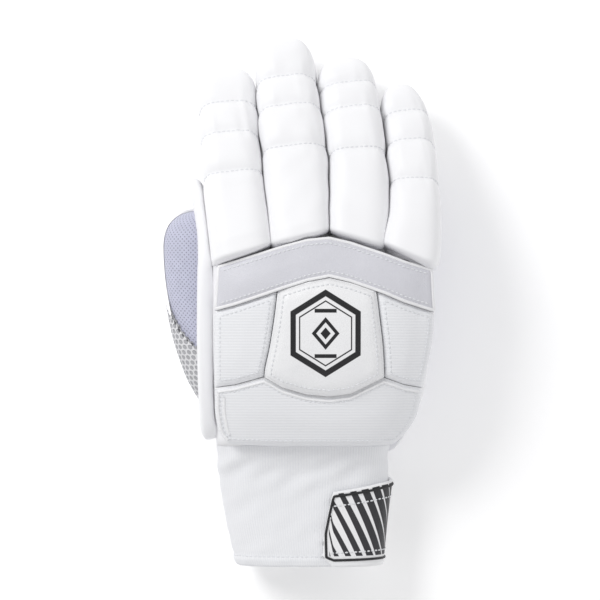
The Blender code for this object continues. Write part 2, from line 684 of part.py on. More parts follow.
def side_bar(name, rows, half_width, look):
    """A padded bar along the hand's side, with rounded ends."""
    data = table("y x z", rows, (L, W, H))
    y = data["y"][0] + steps(13) * (data["y"][-1] - data["y"][0])
    line = np.stack([smooth(y, data["y"], data["x"]), y, smooth(y, data["y"], data["z"])], axis=1)
    size = dome(y, y[-1] - 0.012, y[-1], 2.2) * dome(-y, -y[0] - 0.010, -y[0], 2.2)
    sections = []
    for k in range(len(y)):
        shape = ring(half_width * size[k], BAR_HALF_HEIGHT * size[k], 2.4, 10)
        sections.append(line[k] + np.stack([shape[:, 0], np.zeros(10), shape[:, 1]], axis=1))
    closed_tube(name, np.array(sections), look)


def vent_loop(look):
    """A flat pull loop that bows out from under the palm's edge down to the strap."""
    rows = table("y x z", [
        (0.380, 0.430, 0.729), (0.362, 0.478, 0.66), (0.335, 0.500, 0.56), (0.300, 0.495, 0.48),
        (0.265, 0.470, 0.41), (0.235, 0.435, 0.365), (0.214, 0.395, 0.335),
    ], (L, W, H))
    line = np.stack([rows["x"], rows["y"], rows["z"]], axis=1)
    skins = []
    for drop in (0.0, LOOP_THICK):
        edge_a = line + np.array([LOOP_WIDTH / 2, 0.0, -drop])
        edge_b = line + np.array([-LOOP_WIDTH / 2, 0.0, -drop - 0.001])
        skins.append(np.stack([edge_a, edge_b], axis=1).reshape(-1, 3))
    quads = cells(np.arange(len(line) * 2).reshape(len(line), 2))
    thicken("vent_loop", skins[0], skins[1], quads, look)


def hand_sheet(name, side, wall, shares, look, hole=None):
    """Half of the hand and its fingers as one wall; hole drops cells: rows, columns."""
    outer, quads, strips, number = comb(side, 0.0, shares)
    inner = comb(side, wall, shares)[0]
    if hole:
        dropped = set(map(tuple, cells(number[hole[0], hole[1]]).tolist()))
        quads = np.array([q for q in quads.tolist() if tuple(q) not in dropped])
    thicken(name, outer, inner, quads, look)
    return strips


def stand_at_origin():
    """Move every piece so that the whole stands on z = 0, centred on the origin in plan."""
    pieces = list(bpy.data.objects)
    corners = np.array([tuple(v.co) for piece in pieces for v in piece.data.vertices])
    low, high = corners.min(axis=0), corners.max(axis=0)
    middle = (low + high) / 2
    for piece in pieces:
        piece.data.transform(Matrix.Translation((-middle[0], -middle[1], -low[2])))


def main():
    for thing in list(bpy.data.objects):
        bpy.data.objects.remove(thing, do_unlink=True)
    white = material("white_leather", (0.93, 0.93, 0.94), 0.45)
    cloth = material("white_cloth", (0.90, 0.91, 0.93), 0.75)
    grey = material("grey_leather", (0.78, 0.78, 0.81), 0.45)
    lavender = material("lavender_leather", (0.68, 0.69, 0.82), 0.65)
    netting = material("white_mesh", (0.86, 0.86, 0.87), 0.8)

    backs = [back_shares(i) for i in range(4)]
    strips = hand_sheet("glove_back", 1, BACK_WALL, backs, white)
    fronts = [(0.0, front_reach(i)) for i in range(4)]
    hand_sheet("palm_leather", -1, LEATHER_WALL, fronts, lavender, (slice(1, 4), slice(2, 9)))
    for i in range(4):
        roll(i, strips[i], white)
        cap(i, white)

    pad("knuckle_band", "left", "right", "band_low", "band_high", BAND_THICK, grey, 17, 6)
    pad("centre_pad", "inner", "outer", "low", "band_low", CENTRE_PAD_THICK, white, 11, 9)
    pad("inner_pad", "left", "inner", "low", "band_low", SIDE_PAD_THICK, cloth, 8, 9)
    pad("outer_pad", "outer", "right", "low", "band_low", SIDE_PAD_THICK, cloth, 8, 9)
    pad("lower_pad", "left", "right", "cuff", "low", LOWER_PAD_THICK, cloth, 17, 7)

    side_bar("index_side_bar", [
        (0.236, -0.455, 0.66), (0.32, -0.449, 0.84), (0.42, -0.450, 0.96), (0.52, -0.449, 0.99),
        (0.62, -0.449, 0.91), (0.73, -0.496, 0.76),
    ], BAR_HALF_WIDTH, white)
    side_bar("little_side_bar", [
        (0.30, 0.545, 0.78), (0.36, 0.567, 0.88), (0.42, 0.584, 0.95), (0.48, 0.595, 0.97),
        (0.545, 0.602, 0.97),
    ], BAR_HALF_WIDTH * 0.75, white)

    thumb_stall(lavender)
    thumb_pad(white)
    thumb_mesh(netting)
    cuff(cloth)
    strap(white)
    vent_loop(white)
    stand_at_origin()


main()
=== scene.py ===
"""Cricket batting glove for the right hand, lying palm down: its leather, cloth, padding and sewing.

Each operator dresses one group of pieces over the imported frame. Shapes are grids of points worked
out as whole arrays in the part's plan (x across, y along, z up, in metres from the cuff's mouth),
then shifted into the frame.
"""

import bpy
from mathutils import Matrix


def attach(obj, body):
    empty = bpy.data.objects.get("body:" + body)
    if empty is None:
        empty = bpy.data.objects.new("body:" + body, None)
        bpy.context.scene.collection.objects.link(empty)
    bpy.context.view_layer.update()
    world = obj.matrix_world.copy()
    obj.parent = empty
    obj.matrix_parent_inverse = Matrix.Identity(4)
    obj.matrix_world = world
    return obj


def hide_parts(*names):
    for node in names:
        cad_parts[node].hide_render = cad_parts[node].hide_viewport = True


bl_info = {
    "name": "Batting Glove",
    "version": (1, 0, 0),
    "blender": (4, 5, 0),
    "location": "View3D > Sidebar > Glove",
    "description": "Dresses a cricket batting glove in leather, cloth, padding and stitches",
    "category": "Object",
}

import bpy
import numpy as np

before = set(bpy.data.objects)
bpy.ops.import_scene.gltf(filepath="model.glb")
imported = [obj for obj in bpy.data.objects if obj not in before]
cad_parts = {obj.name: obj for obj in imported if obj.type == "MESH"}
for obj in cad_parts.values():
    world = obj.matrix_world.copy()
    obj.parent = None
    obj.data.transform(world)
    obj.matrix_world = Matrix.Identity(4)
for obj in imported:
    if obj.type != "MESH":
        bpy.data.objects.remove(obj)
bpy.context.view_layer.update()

# From the part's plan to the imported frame
SHIFT = np.array([0.000133, -0.134158, 0.0])

# Sizes of the part, which its solids share
GLOVE_LENGTH = 0.268
HAND_WIDTH = 0.108
REST_HEIGHT = 0.053
LEATHER_WALL = 0.0016
BACK_WALL = 0.0020
CUFF_WALL = 0.0026
PAD_SEAT = 0.0006
SEAM_GAP = 0.0003
ROLL_GAP = 0.0005
ROLL_SEAT = 0.0006
BACK_RISE = 0.0150
PALM_DROP = 0.0120
FINGER_HALF_WIDTH = 0.0125
FINGER_RISE = 0.0110
FINGER_DROP = 0.0108
TIP_HEIGHT = 0.0085
CAP_LENGTH = 0.042
CAP_WALL = 0.0036
CAP_CROSS = 0.021
CUFF_LENGTH = 0.0604
STRAP_THICK = 0.0022
STRAP_GAP = 0.0006
THUMB_HALF_WIDTH = 0.0215
THUMB_HALF_HEIGHT = 0.0115
THUMB_WALL = 0.0018
THUMB_TIP = 0.180
THUMB_FOOT = 0.082
THUMB_MOUTH = 0.100
THUMB_Z = 0.0162 - 0.0022 + 0.0004 + THUMB_HALF_HEIGHT
MESH_THICK = 0.0018
TIP_POWER = 2.9
HAND_POWER = 2.8
CUFF_POWER = 2.5

# Sizes of the dress alone
PAD_JOINT = 0.00015
CORE_INSET = 0.006
TIP_LENGTH = 0.021
TIP_PLAN_POWER = 2.3
TIP_HEIGHT_POWER = 2.5
FLOOR_GAP = 0.0003

# Scales of the tables: along, across and up
L, W, H = GLOVE_LENGTH, HAND_WIDTH, REST_HEIGHT


def table(columns, rows, scale):
    """Named columns from rows of shares, each column times its size."""
    values = np.array(rows) * scale
    return {name: values[:, i] for i, name in enumerate(columns.split())}


BODY = table("y left right middle", [
    (0.225, -0.394, 0.421, 0.59),
    (0.269, -0.403, 0.477, 0.71),
    (0.321, -0.409, 0.519, 0.82),
    (0.381, -0.413, 0.546, 0.92),
    (0.448, -0.415, 0.563, 0.98),
    (0.515, -0.413, 0.572, 1.00),
    (0.567, -0.409, 0.574, 0.985),
    (0.612, -0.411, 0.577, 0.95),
    (0.660, -0.411, 0.577, 0.90),
    (0.710, -0.411, 0.577, 0.83),
], (L, W, W, H))

EDGES = table("y e0 e1 e2 e3 e4", [
    (0.560, -0.402, -0.126, 0.129, 0.369, 0.616),
    (0.597, -0.411, -0.131, 0.131, 0.380, 0.643),
    (0.672, -0.435, -0.156, 0.133, 0.411, 0.648),
    (0.746, -0.457, -0.175, 0.131, 0.406, 0.639),
    (0.821, -0.474, -0.192, 0.108, 0.389, 0.613),
    (0.896, -0.480, -0.206, 0.081, 0.363, 0.560),
    (0.951, -0.480, -0.212, 0.068, 0.339, 0.519),
], (L, W, W, W, W, W))

FINGERS = table("root end foot_left foot_right seam1 seam2 seam3", [
    (0.688, 0.921, 0.567, 0.594, 0.746, 0.824, 0.882),
    (0.709, 0.982, 0.598, 0.620, 0.795, 0.875, 0.931),
    (0.685, 0.942, 0.619, 0.598, 0.790, 0.873, 0.920),
    (0.655, 0.888, 0.590, 0.566, 0.734, 0.810, 0.866),
], L)
FINGER_NAMES = ("index", "middle", "ring", "little")

CURL = table("along fall", [(0.0, 0.0), (0.25, 0.17), (0.5, 0.43), (0.75, 0.73), (1.0, 1.0)], 1.0)

CUFF = table("y left right middle half_height", [
    (0.0, -0.306, 0.370, 0.415, 0.358),
    (0.2, -0.333, 0.380, 0.415, 0.358),
    (0.5, -0.366, 0.398, 0.423, 0.349),
    (0.75, -0.384, 0.415, 0.472, 0.330),
    (1.0, -0.394, 0.421, 0.589, 0.311),
], (CUFF_LENGTH - SEAM_GAP, W, W, H, H))

THUMB = table("y x dip", [
    (0.236, -0.222, 0.80), (0.306, -0.275, 0.12), (0.362, -0.330, 0.0), (0.429, -0.385, 0.0),
    (0.485, -0.414, 0.0), (0.541, -0.436, 0.0), (0.604, -0.445, 0.0), (0.679, -0.430, 0.0),
], (L, W, THUMB_HALF_HEIGHT))

PAD_SIDES = table("y left inner outer right", [
    (0.224, -0.320, -0.170, 0.400, 0.425),
    (0.246, -0.372, -0.170, 0.390, 0.486),
    (0.276, -0.394, -0.168, 0.386, 0.537),
    (0.326, -0.400, -0.166, 0.386, 0.566),
    (0.366, -0.400, -0.164, 0.386, 0.586),
    (0.410, -0.400, -0.142, 0.380, 0.607),
    (0.470, -0.398, -0.118, 0.363, 0.622),
    (0.520, -0.390, -0.103, 0.347, 0.616),
], (L, W, W, W, W))

PAD_RINGS = table("x cuff low band_low band_high", [
    (-0.411, 0.232, 0.336, 0.478, 0.561),
    (-0.300, 0.228, 0.343, 0.490, 0.574),
    (-0.166, 0.226, 0.358, 0.508, 0.591),
    (-0.080, 0.225, 0.338, 0.520, 0.602),
    (0.030, 0.225, 0.325, 0.534, 0.614),
    (0.133, 0.225, 0.321, 0.542, 0.618),
    (0.230, 0.225, 0.326, 0.533, 0.609),
    (0.386, 0.226, 0.357, 0.511, 0.588),
    (0.480, 0.228, 0.343, 0.495, 0.574),
    (0.628, 0.234, 0.332, 0.476, 0.556),
], (W, L, L, L, L))


# Arrays of points

def smooth(at, known, values):
    """Values at places between known ones: a cubic whose slopes are the mean of the chords'."""
    at = np.atleast_1d(np.asarray(at, float))
    slopes = np.gradient(values, known)
    i = np.clip(np.searchsorted(known, at) - 1, 0, len(known) - 2)
    span = known[i + 1] - known[i]
    t = (at - known[i]) / span
    inside = np.clip(t, 0.0, 1.0)
    a, b = inside**2 * (3 - 2 * inside), inside * (1 - inside) ** 2
    c = inside**2 * (inside - 1)
    value = values[i] * (1 - a) + values[i + 1] * a + span * (slopes[i] * b + slopes[i + 1] * c)
    return value + (t - inside) * span * np.where(t > 1, slopes[i + 1], slopes[i])


def unit(v):
    """Vectors at length 1."""
    return v / np.maximum(np.linalg.norm(v, axis=-1, keepdims=True), 1e-12)


def dome(at, start, end, power=2.3, reach=0.96):
    """1 up to start, then a rounded fall towards the end, held from the share of reach on."""
    t = np.clip((at - start) / (end - start), 0.0, reach)
    return (1 - t**power) ** (1 / power)


def ease(at, start, end):
    """0 before start, 1 after end, and a smooth rise between."""
    t = np.clip((at - start) / (end - start), 0.0, 1.0)
    return t * t * (3 - 2 * t)


def bell(x, width):
    """1 in the middle, falling to both sides."""
    return np.exp(-((x / width) ** 2))


def ripple(a, b, seed, size):
    """Soft seeded unevenness between -1 and 1: five crossing waves about size long."""
    rng = np.random.default_rng(seed)
    total = 0.0
    for _ in range(5):
        angle, phase = rng.uniform(0, 2 * np.pi, 2)
        length = size * rng.uniform(0.7, 1.5)
        total = total + np.sin((a * np.cos(angle) + b * np.sin(angle)) * 2 * np.pi / length + phase)
    return total / 5


def normals(grid, round_u=False):
    """Normals of a grid of points (rows, columns, 3), pointing up where x runs with the columns."""
    if round_u:
        wide = np.concatenate([grid[:, -1:], grid, grid[:, :1]], axis=1)
        across = wide[:, 2:] - wide[:, :-2]
    else:
        across = np.gradient(grid, axis=1)
    return unit(np.cross(across, np.gradient(grid, axis=0)))


def closed(line):
    """A line with its first point again at its end."""
    return np.concatenate([line, line[:1]])


def lengths(line):
    """Distance along a line of points, from its first."""
    return np.append(0.0, np.cumsum(np.linalg.norm(np.diff(line, axis=0), axis=1)))


def flat_pattern(grid, round_u=False):
    """(u, v) in metres for a grid: along its middle row and its middle column."""
    row = grid[grid.shape[0] // 2]
    if round_u:
        row = closed(row)
    u, v = lengths(row), lengths(grid[:, grid.shape[1] // 2])
    return np.stack(np.meshgrid(u - u[-1] / 2, v), axis=-1)


def arc(half_width, rise, count, power=2.0):
    """Half a superellipse from its left end over the top to its right end: (across, up)."""
    angle = np.linspace(np.pi, 0.0, count)
    c, s = np.cos(angle), np.sin(angle)
    across = half_width * np.sign(c) * np.abs(c) ** (2 / power)
    return np.stack([across, rise * np.abs(s) ** (2 / power)], axis=1)


def ring(half_width, half_height, power, count):
    """A closed superellipse, from its left side over the top and back: (across, up)."""
    angle = np.pi - np.arange(count) * 2 * np.pi / count
    c, s = np.cos(angle), np.sin(angle)
    return np.stack([
        half_width * np.sign(c) * np.abs(c) ** (2 / power),
        half_height * np.sign(s) * np.abs(s) ** (2 / power),
    ], axis=1)


class Cloth:
    """Gathers grids of points into one mesh that keeps each corner's place in the flat pattern."""

    def __init__(self):
        self.points, self.faces, self.flats, self.count = [], [], [], 0

    def grid(self, grid, flat=None, round_u=False, flip=False, keep=None):
        """A grid of quads; keep is a mask of its cells. Returns the numbers of its points."""
        rows, columns = grid.shape[:2]
        index = np.arange(rows * columns).reshape(rows, columns) + self.count
        own = index
        flat = flat_pattern(grid, round_u) if flat is None else flat
        if round_u:
            index = np.concatenate([index, index[:, :1]], axis=1)

        def corners(a):
            return np.stack([a[:-1, :-1], a[:-1, 1:], a[1:, 1:], a[1:, :-1]], axis=2)

        quads, uvs = corners(index), corners(flat)
        mask = np.ones(quads.shape[:2], bool) if keep is None else keep
        quads, uvs = quads[mask], uvs[mask]
        if flip:
            quads, uvs = quads[:, ::-1], uvs[:, ::-1]
        self.points.append(grid.reshape(-1, 3))
        self.faces.append(quads)
        self.flats.append(uvs)
        self.count += rows * columns
        return own

    def rim(self, outer, inner, beside, flip=False):
        """A rounded edge between two like lines; beside is the outer skin's next line inwards."""
        away = unit(outer - beside)
        middle, half = (outer + inner) / 2, (outer - inner) / 2
        thick = np.linalg.norm(half, axis=1, keepdims=True)
        angle = np.linspace(0, np.pi, 6)[:, None, None]
        strip = middle + half * np.cos(angle) + away * thick * np.sin(angle)
        self.grid(strip, flip=flip)

    def sheet(self, outer, inner, flat=None, round_u=False, keep=None):
        """Two skins and rounded edges between them."""
        self.grid(outer, flat, round_u, keep=keep)
        self.grid(inner, flat, round_u, flip=True, keep=keep)
        ends = [outer[0], inner[0], outer[1], outer[-1], inner[-1], outer[-2]]
        if round_u:
            ends = [closed(line) for line in ends]
        self.rim(*ends[:3], flip=True)
        self.rim(*ends[3:])
        if not round_u:
            self.rim(outer[:, 0], inner[:, 0], outer[:, 1])
            self.rim(outer[:, -1], inner[:, -1], outer[:, -2], flip=True)

    def make(self, name, look, *nodes):
        """The mesh as an object that rides on the frame and stands for the named nodes."""
        points, faces = np.concatenate(self.points) + SHIFT, np.concatenate(self.faces)
        flats = np.concatenate(self.flats)
        mesh = bpy.data.meshes.new(name)
        mesh.vertices.add(len(points))
        mesh.vertices.foreach_set("co", points.astype(np.float32).ravel())
        mesh.loops.add(faces.size)
        mesh.loops.foreach_set("vertex_index", faces.astype(np.int32).ravel())
        mesh.polygons.add(len(faces))
        mesh.polygons.foreach_set("loop_start", np.arange(0, faces.size, 4, dtype=np.int32))
        layer = mesh.uv_layers.new(name="flat")
        layer.uv.foreach_set("vector", flats.astype(np.float32).ravel())
        mesh.update(calc_edges=True)
        mesh.validate()
        mesh.shade_smooth()
        mesh.materials.append(bpy.data.materials[look])
        thing = bpy.data.objects.new(name, mesh)
        bpy.context.scene.collection.objects.link(thing)
        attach(thing, "root")
        if nodes:
            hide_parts(*nodes)
        return thing


def along_line(at, known, points):
    """Points between known places of a line."""
    return np.stack([np.interp(at, known, points[:, k]) for k in range(3)], axis=1)


STITCH_SHARE = 0.72
STITCH_HALF_WIDTH = 0.00042
STITCH_FLATNESS = 0.8
STITCH_SINK = 0.5
STITCH_STEP = 0.0004
STITCH_PROFILE = ((-1.0, 0.05), (-0.8, 0.6), (-0.3, 1.0), (0.3, 1.0), (0.8, 0.6), (1.0, 0.05))
STITCH_SIDES = 6


def stitches(name, lines, pitch):
    """Rows of stitches: each is a small rounded bead laid along its line of (points, normals)."""
    angle = np.arange(STITCH_SIDES) * 2 * np.pi / STITCH_SIDES
    place, radius = np.array(STITCH_PROFILE).T[:, :, None]
    bead = np.stack(np.broadcast_arrays(place, radius * np.cos(angle), radius * np.sin(angle)), axis=2)
    reach, width, tall = pitch * STITCH_SHARE / 2, STITCH_HALF_WIDTH, STITCH_HALF_WIDTH * STITCH_FLATNESS
    cloth = Cloth()
    for points, ups in lines:
        known = lengths(points)
        count = max(int(round(known[-1] / pitch)), 1)
        at = (np.arange(count) + 0.5) * known[-1] / count
        ahead, behind = (along_line(at + step, known, points) for step in (STITCH_STEP, -STITCH_STEP))
        tangent = unit(ahead - behind)
        side = unit(np.cross(tangent, unit(along_line(at, known, ups))))
        up = np.cross(side, tangent)
        axes = np.stack([tangent * reach, side * width, up * tall], axis=1)
        spots = along_line(at, known, points) + up * width * (STITCH_FLATNESS - STITCH_SINK)
        for grid in np.einsum("rck,nkx->nrcx", bead, axes) + spots[:, None, None]:
            cloth.grid(grid, np.zeros((len(STITCH_PROFILE), STITCH_SIDES + 1, 2)), round_u=True, flip=True)
    cloth.make(name, "thread")


CORD_SIDES = 8


def tube(cloth, line, radius, round_line=False):
    """A thin cord along a line, as piping."""
    if round_line:
        line = np.concatenate([line, line[:2]])
    tangent = unit(np.gradient(line, axis=0))
    side = unit(np.cross(tangent, np.array([0.0, 0.0, 1.0]) + tangent[:, ::-1] * 0.01))
    up = np.cross(side, tangent)
    angle = np.arange(CORD_SIDES) * 2 * np.pi / CORD_SIDES
    grid = line[:, None] + radius * (
        side[:, None] * np.cos(angle)[None, :, None] + up[:, None] * np.sin(angle)[None, :, None]
    )
    cloth.grid(grid, round_u=True, flip=True)


SWELL_FRAMES = 20
SWELL_MOST = 0.0014


def places(mesh):
    """The mesh's points as rows."""
    values = np.empty(len(mesh.vertices) * 3, np.float32)
    mesh.vertices.foreach_get("co", values)
    return values.reshape(-1, 3)


def swell(thing, held, pressure):
    """Blows the padding up between its held points, moving none far."""
    scene = bpy.context.scene
    before = places(thing.data)
    group = thing.vertex_groups.new(name="held")
    group.add([int(i) for i in held], 1.0, "REPLACE")
    cloth = thing.modifiers.new("swell", "CLOTH")
    settings = cloth.settings
    settings.vertex_group_mass = "held"
    settings.quality = 5
    settings.mass = 0.15
    settings.tension_stiffness = settings.compression_stiffness = 12
    settings.bending_stiffness = 2.0
    settings.use_pressure = True
    settings.uniform_pressure_force = pressure
    settings.effector_weights.gravity = 0.0
    cloth.point_cache.frame_end = SWELL_FRAMES
    for step in range(1, SWELL_FRAMES + 1):
        scene.frame_set(step)
    graph = bpy.context.evaluated_depsgraph_get()
    move = places(thing.evaluated_get(graph).data) - before
    far = np.linalg.norm(move, axis=1, keepdims=True)
    move *= np.minimum(1.0, SWELL_MOST / np.maximum(far, 1e-9))
    thing.modifiers.remove(cloth)
    thing.vertex_groups.remove(group)
    scene.frame_set(1)
    thing.data.vertices.foreach_set("co", (before + move).ravel())
    thing.data.update()


# Shapes of the hand and its fingers

def spine(y):
    """Height of the hand's middle."""
    return smooth(y, BODY["y"], BODY["middle"])


def hand_sides(y):
    """Left and right side of the hand at y."""
    return smooth(y, BODY["y"], BODY["left"]), smooth(y, BODY["y"], BODY["right"])


def finger_edges(i, y):
    """Left and right side of a finger's roll at y."""
    return smooth(y, EDGES["y"], EDGES[f"e{i}"]), smooth(y, EDGES["y"], EDGES[f"e{i + 1}"])


def finger_line(i, y):
    """The finger's middle line: level with the hand up to its root, then curling to the floor."""
    root, end = FINGERS["root"][i], FINGERS["end"][i]
    left, right = finger_edges(i, y)
    top = spine(root)
    share = np.clip((y - root) / (end - root), 0.0, 1.1)
    fall = smooth(share, CURL["along"], CURL["fall"])
    z = np.where(y <= root, spine(y), top + (TIP_HEIGHT - top) * fall)
    return np.stack([(left + right) / 2, y, z], axis=1)


def finger_frames(i, y):
    """The finger's middle line at y, with its sideways and upward directions there."""
    step = 0.0005
    tangent = unit(finger_line(i, y + step) - finger_line(i, y - step))
    side = unit(np.cross(tangent, np.array([0.0, 0.0, 1.0])))
    return finger_line(i, y), side, np.cross(side, tangent)


def finger_width(i):
    """Half the width of a finger's leather."""
    root, end = FINGERS["root"][i], FINGERS["end"][i]
    left, right = finger_edges(i, root + 0.25 * (end - root))
    return float(min(FINGER_HALF_WIDTH, (right - left)[0] / 2 - 0.0018))


ARC = 17
HAND_ROWS = np.linspace(CUFF_LENGTH, 0.600 * L, 26)
BLEND = np.array([0.06, 0.16, 0.28, 0.41, 0.54, 0.67, 0.80, 0.91])


def finger_rows(i, side, wall, shares):
    """Half sections of a finger at shares of its length; side is 1 for the back, -1 for the front."""
    root, end = FINGERS["root"][i], FINGERS["end"][i] - CORE_INSET
    y = root + np.asarray(shares) * (end - root)
    line, across, up = finger_frames(i, y)
    shrink = dome(y, end - 0.011, end + 0.001)
    rise = FINGER_RISE if side > 0 else FINGER_DROP
    flat = arc(finger_width(i) - wall, rise - wall, ARC)
    lift = SEAM_GAP / 2 * side
    return (
        line[:, None]
        + across[:, None] * (flat[None, :, :1] * shrink[:, None, None])
        + up[:, None] * (lift + side * flat[None, :, 1:] * shrink[:, None, None])
    )


def hand_section(y, across, side, wall):
    """Heights of the hand part's skin, for places across it at y."""
    left, right = hand_sides(y)
    left, right = left + wall, right - wall
    share = np.clip((2 * across - left - right) / (right - left), -1.0, 1.0)
    tall = (BACK_RISE if side > 0 else PALM_DROP) - wall
    bulge = (1 - np.abs(share) ** HAND_POWER) ** (1 / HAND_POWER)
    return spine(y) + side * (SEAM_GAP / 2 + tall * bulge)


def reach_across(grid):
    """Distances along each row of a grid, from the row's middle point."""
    spans = np.linalg.norm(np.diff(grid, axis=1), axis=2)
    reach = np.concatenate([np.zeros((len(grid), 1)), np.cumsum(spans, axis=1)], axis=1)
    return reach - reach[:, grid.shape[1] // 2, None]


def comb(side, wall, shares):
    """The hand part and its fingers as one comb: points, quads, finger strips and flat pattern."""
    fingers = [finger_rows(i, side, wall, shares[i]) for i in range(4)]
    crotch = np.concatenate([rows[0][:-1] for rows in fingers] + [fingers[3][0][-1:]])
    for i in range(1, 4):
        middle = (fingers[i - 1][0][-1] + fingers[i][0][0]) / 2
        middle[1] -= 1.2 * wall
        middle[2] = spine(middle[1])[0] + side * SEAM_GAP / 2
        crotch[i * (ARC - 1)] = middle
    share = (crotch[:, 0] - crotch[0, 0]) / (crotch[-1, 0] - crotch[0, 0])
    rows = []
    for y in HAND_ROWS:
        left, right = hand_sides(y)
        x = left + wall + share * (right - left - 2 * wall)
        rows.append(np.stack([x, np.full_like(x, y), hand_section(y, x, side, wall)], axis=1))
    last = rows[-1]
    rows += [last * (1 - t) + crotch * t for t in BLEND]
    palm = np.array(rows + [crotch])
    number = np.arange(palm.shape[0] * palm.shape[1]).reshape(palm.shape[:2])

    def cells(index):
        quads = np.stack([index[:-1, :-1], index[:-1, 1:], index[1:, 1:], index[1:, :-1]], axis=-1)
        return quads.reshape(-1, 4)

    points, quads, strips = [palm.reshape(-1, 3)], [cells(number)], []
    count = number.size
    across = reach_across(palm)
    flats = [np.stack([across, palm[:, :, 1]], axis=2).reshape(-1, 2)]
    for i, finger in enumerate(fingers):
        columns = slice(i * (ARC - 1), (i + 1) * (ARC - 1) + 1)
        more = np.arange(finger[1:, :, 0].size).reshape(-1, ARC) + count
        count += more.size
        points.append(finger[1:].reshape(-1, 3))
        middle = ARC // 2
        along = finger[0, middle, 1] + lengths(finger[:, middle])
        u = reach_across(finger) + across[-1, columns][middle]
        v = np.broadcast_to(along[:, None], u.shape)
        flats.append(np.stack([u, v], axis=2)[1:].reshape(-1, 2))
        quads.append(cells(np.concatenate([number[-1:, columns], more])))
        strips.append(np.concatenate([palm[:, columns], finger[1:]]))
    return np.concatenate(points), np.concatenate(quads), strips, np.concatenate(flats)


def front_reach(i):
    """Share of a finger's length at which its leather front ends and its cap begins."""
    root, end = FINGERS["root"][i], FINGERS["end"][i]
    return (end - CAP_LENGTH - SEAM_GAP - root) / (end - CORE_INSET - root)


MOUTH_MARGIN = 0.0065
MOUTH_START = 0.076


def in_thumb_mouth(x, y):
    """True where the palm opens into the thumb: inside the thumb's own outline, near its foot."""
    middle = smooth(y.ravel(), THUMB["y"], THUMB["x"]).reshape(y.shape)
    inside = np.abs(x - middle) < THUMB_HALF_WIDTH - MOUTH_MARGIN
    return inside & (y > MOUTH_START) & (y < THUMB_MOUTH - 0.002)


def half_hand(name, side, wall, shares, look, node, hole=None):
    """One wall of the hand and fingers, thickened inwards, with rims along its free edges."""
    outer, quads, strips, flat = comb(side, 0.0, shares)
    inner = comb(side, wall, shares)[0]
    if hole:
        middle = outer[quads].mean(axis=1)
        quads = quads[~hole(middle[:, 0], middle[:, 1])]
    directed = {(q[k], q[(k + 1) % 4]) for q in quads.tolist() for k in range(4)}
    count = len(outer)
    rims = [(b, a, a + count, b + count) for a, b in sorted(directed) if (b, a) not in directed]
    cloth = Cloth()
    points = np.concatenate([outer, inner])
    faces = np.concatenate([quads, quads[:, ::-1] + count, np.array(rims)])
    if side < 0:
        faces = faces[:, ::-1]
    cloth.points, cloth.faces = [points], [faces]
    cloth.flats = [np.concatenate([flat, flat])[faces]]
    return cloth.make(name, look, node), strips


SHOULDER = 0.93
SHOULDER_BLEND = 0.025
SHOULDER_FALL = 1.4


def back_height(x, y):
    """The hand's back under the pads, which falls on evenly past the shoulder at its sides."""
    y = np.clip(y, HAND_ROWS[0], HAND_ROWS[-1])
    left, right = (side.reshape(y.shape) for side in hand_sides(y.ravel()))
    share = np.abs((2 * x - left - right) / (right - left))
    held = -SHOULDER_BLEND * np.logaddexp(-share / SHOULDER_BLEND, -SHOULDER / SHOULDER_BLEND)
    bulge = (1 - np.maximum(held, 0.0) ** HAND_POWER) ** (1 / HAND_POWER)
    bulge -= SHOULDER_FALL * np.maximum(share - held, 0.0)
    return spine(y.ravel()).reshape(y.shape) + BACK_RISE * bulge


def tube_ends(grid):
    """The grid with its first and last ring drawn to their middles, to close it."""
    ends = []
    for ring_of_points in (grid[:1], grid[-1:]):
        middle = ring_of_points.mean(axis=1, keepdims=True)
        ends.append(middle + (ring_of_points - middle) * 0.02)
    return np.concatenate([ends[0], grid, ends[1]])


ROLL_COLUMNS = 48
ROLL_POWER = 3.6


def over_core(core, line, across, up, half_width, height):
    """Sections of a roll: over the pad from left to right, then back under it along its core."""
    shape = arc(1.0, 1.0, ROLL_COLUMNS, ROLL_POWER)
    local = np.einsum("rck,rk->rc", core[:, [0, -1]] - line[:, None], up) + ROLL_SEAT
    base = local[:, :1] + (local[:, 1:] - local[:, :1]) * np.linspace(0.0, 1.0, ROLL_COLUMNS)
    over = (
        line[:, None]
        + across[:, None] * (shape[None, :, :1] * half_width[:, None, None])
        + up[:, None] * (base + (height[:, None] - base) * shape[None, :, 1])[:, :, None]
    )
    return np.concatenate([over, core[:, ::-1]], axis=1), shape


ROLL_ROWS = 150
ROLL_GROOVE_WIDTH = 0.0026
ROLL_PRESS = 0.0006
FOOT_OVER = 0.0010
FOOT_ROUND = 0.0042
FOOT_TURN = 0.030
PUCKER_WIDTH = 0.007


def near_seams(at, seams, width, power):
    """How near each place is to the closest sewn line: 1 on it, less beside it."""
    return sum(np.exp(-(np.abs(at - s) / width) ** power) for s in seams)


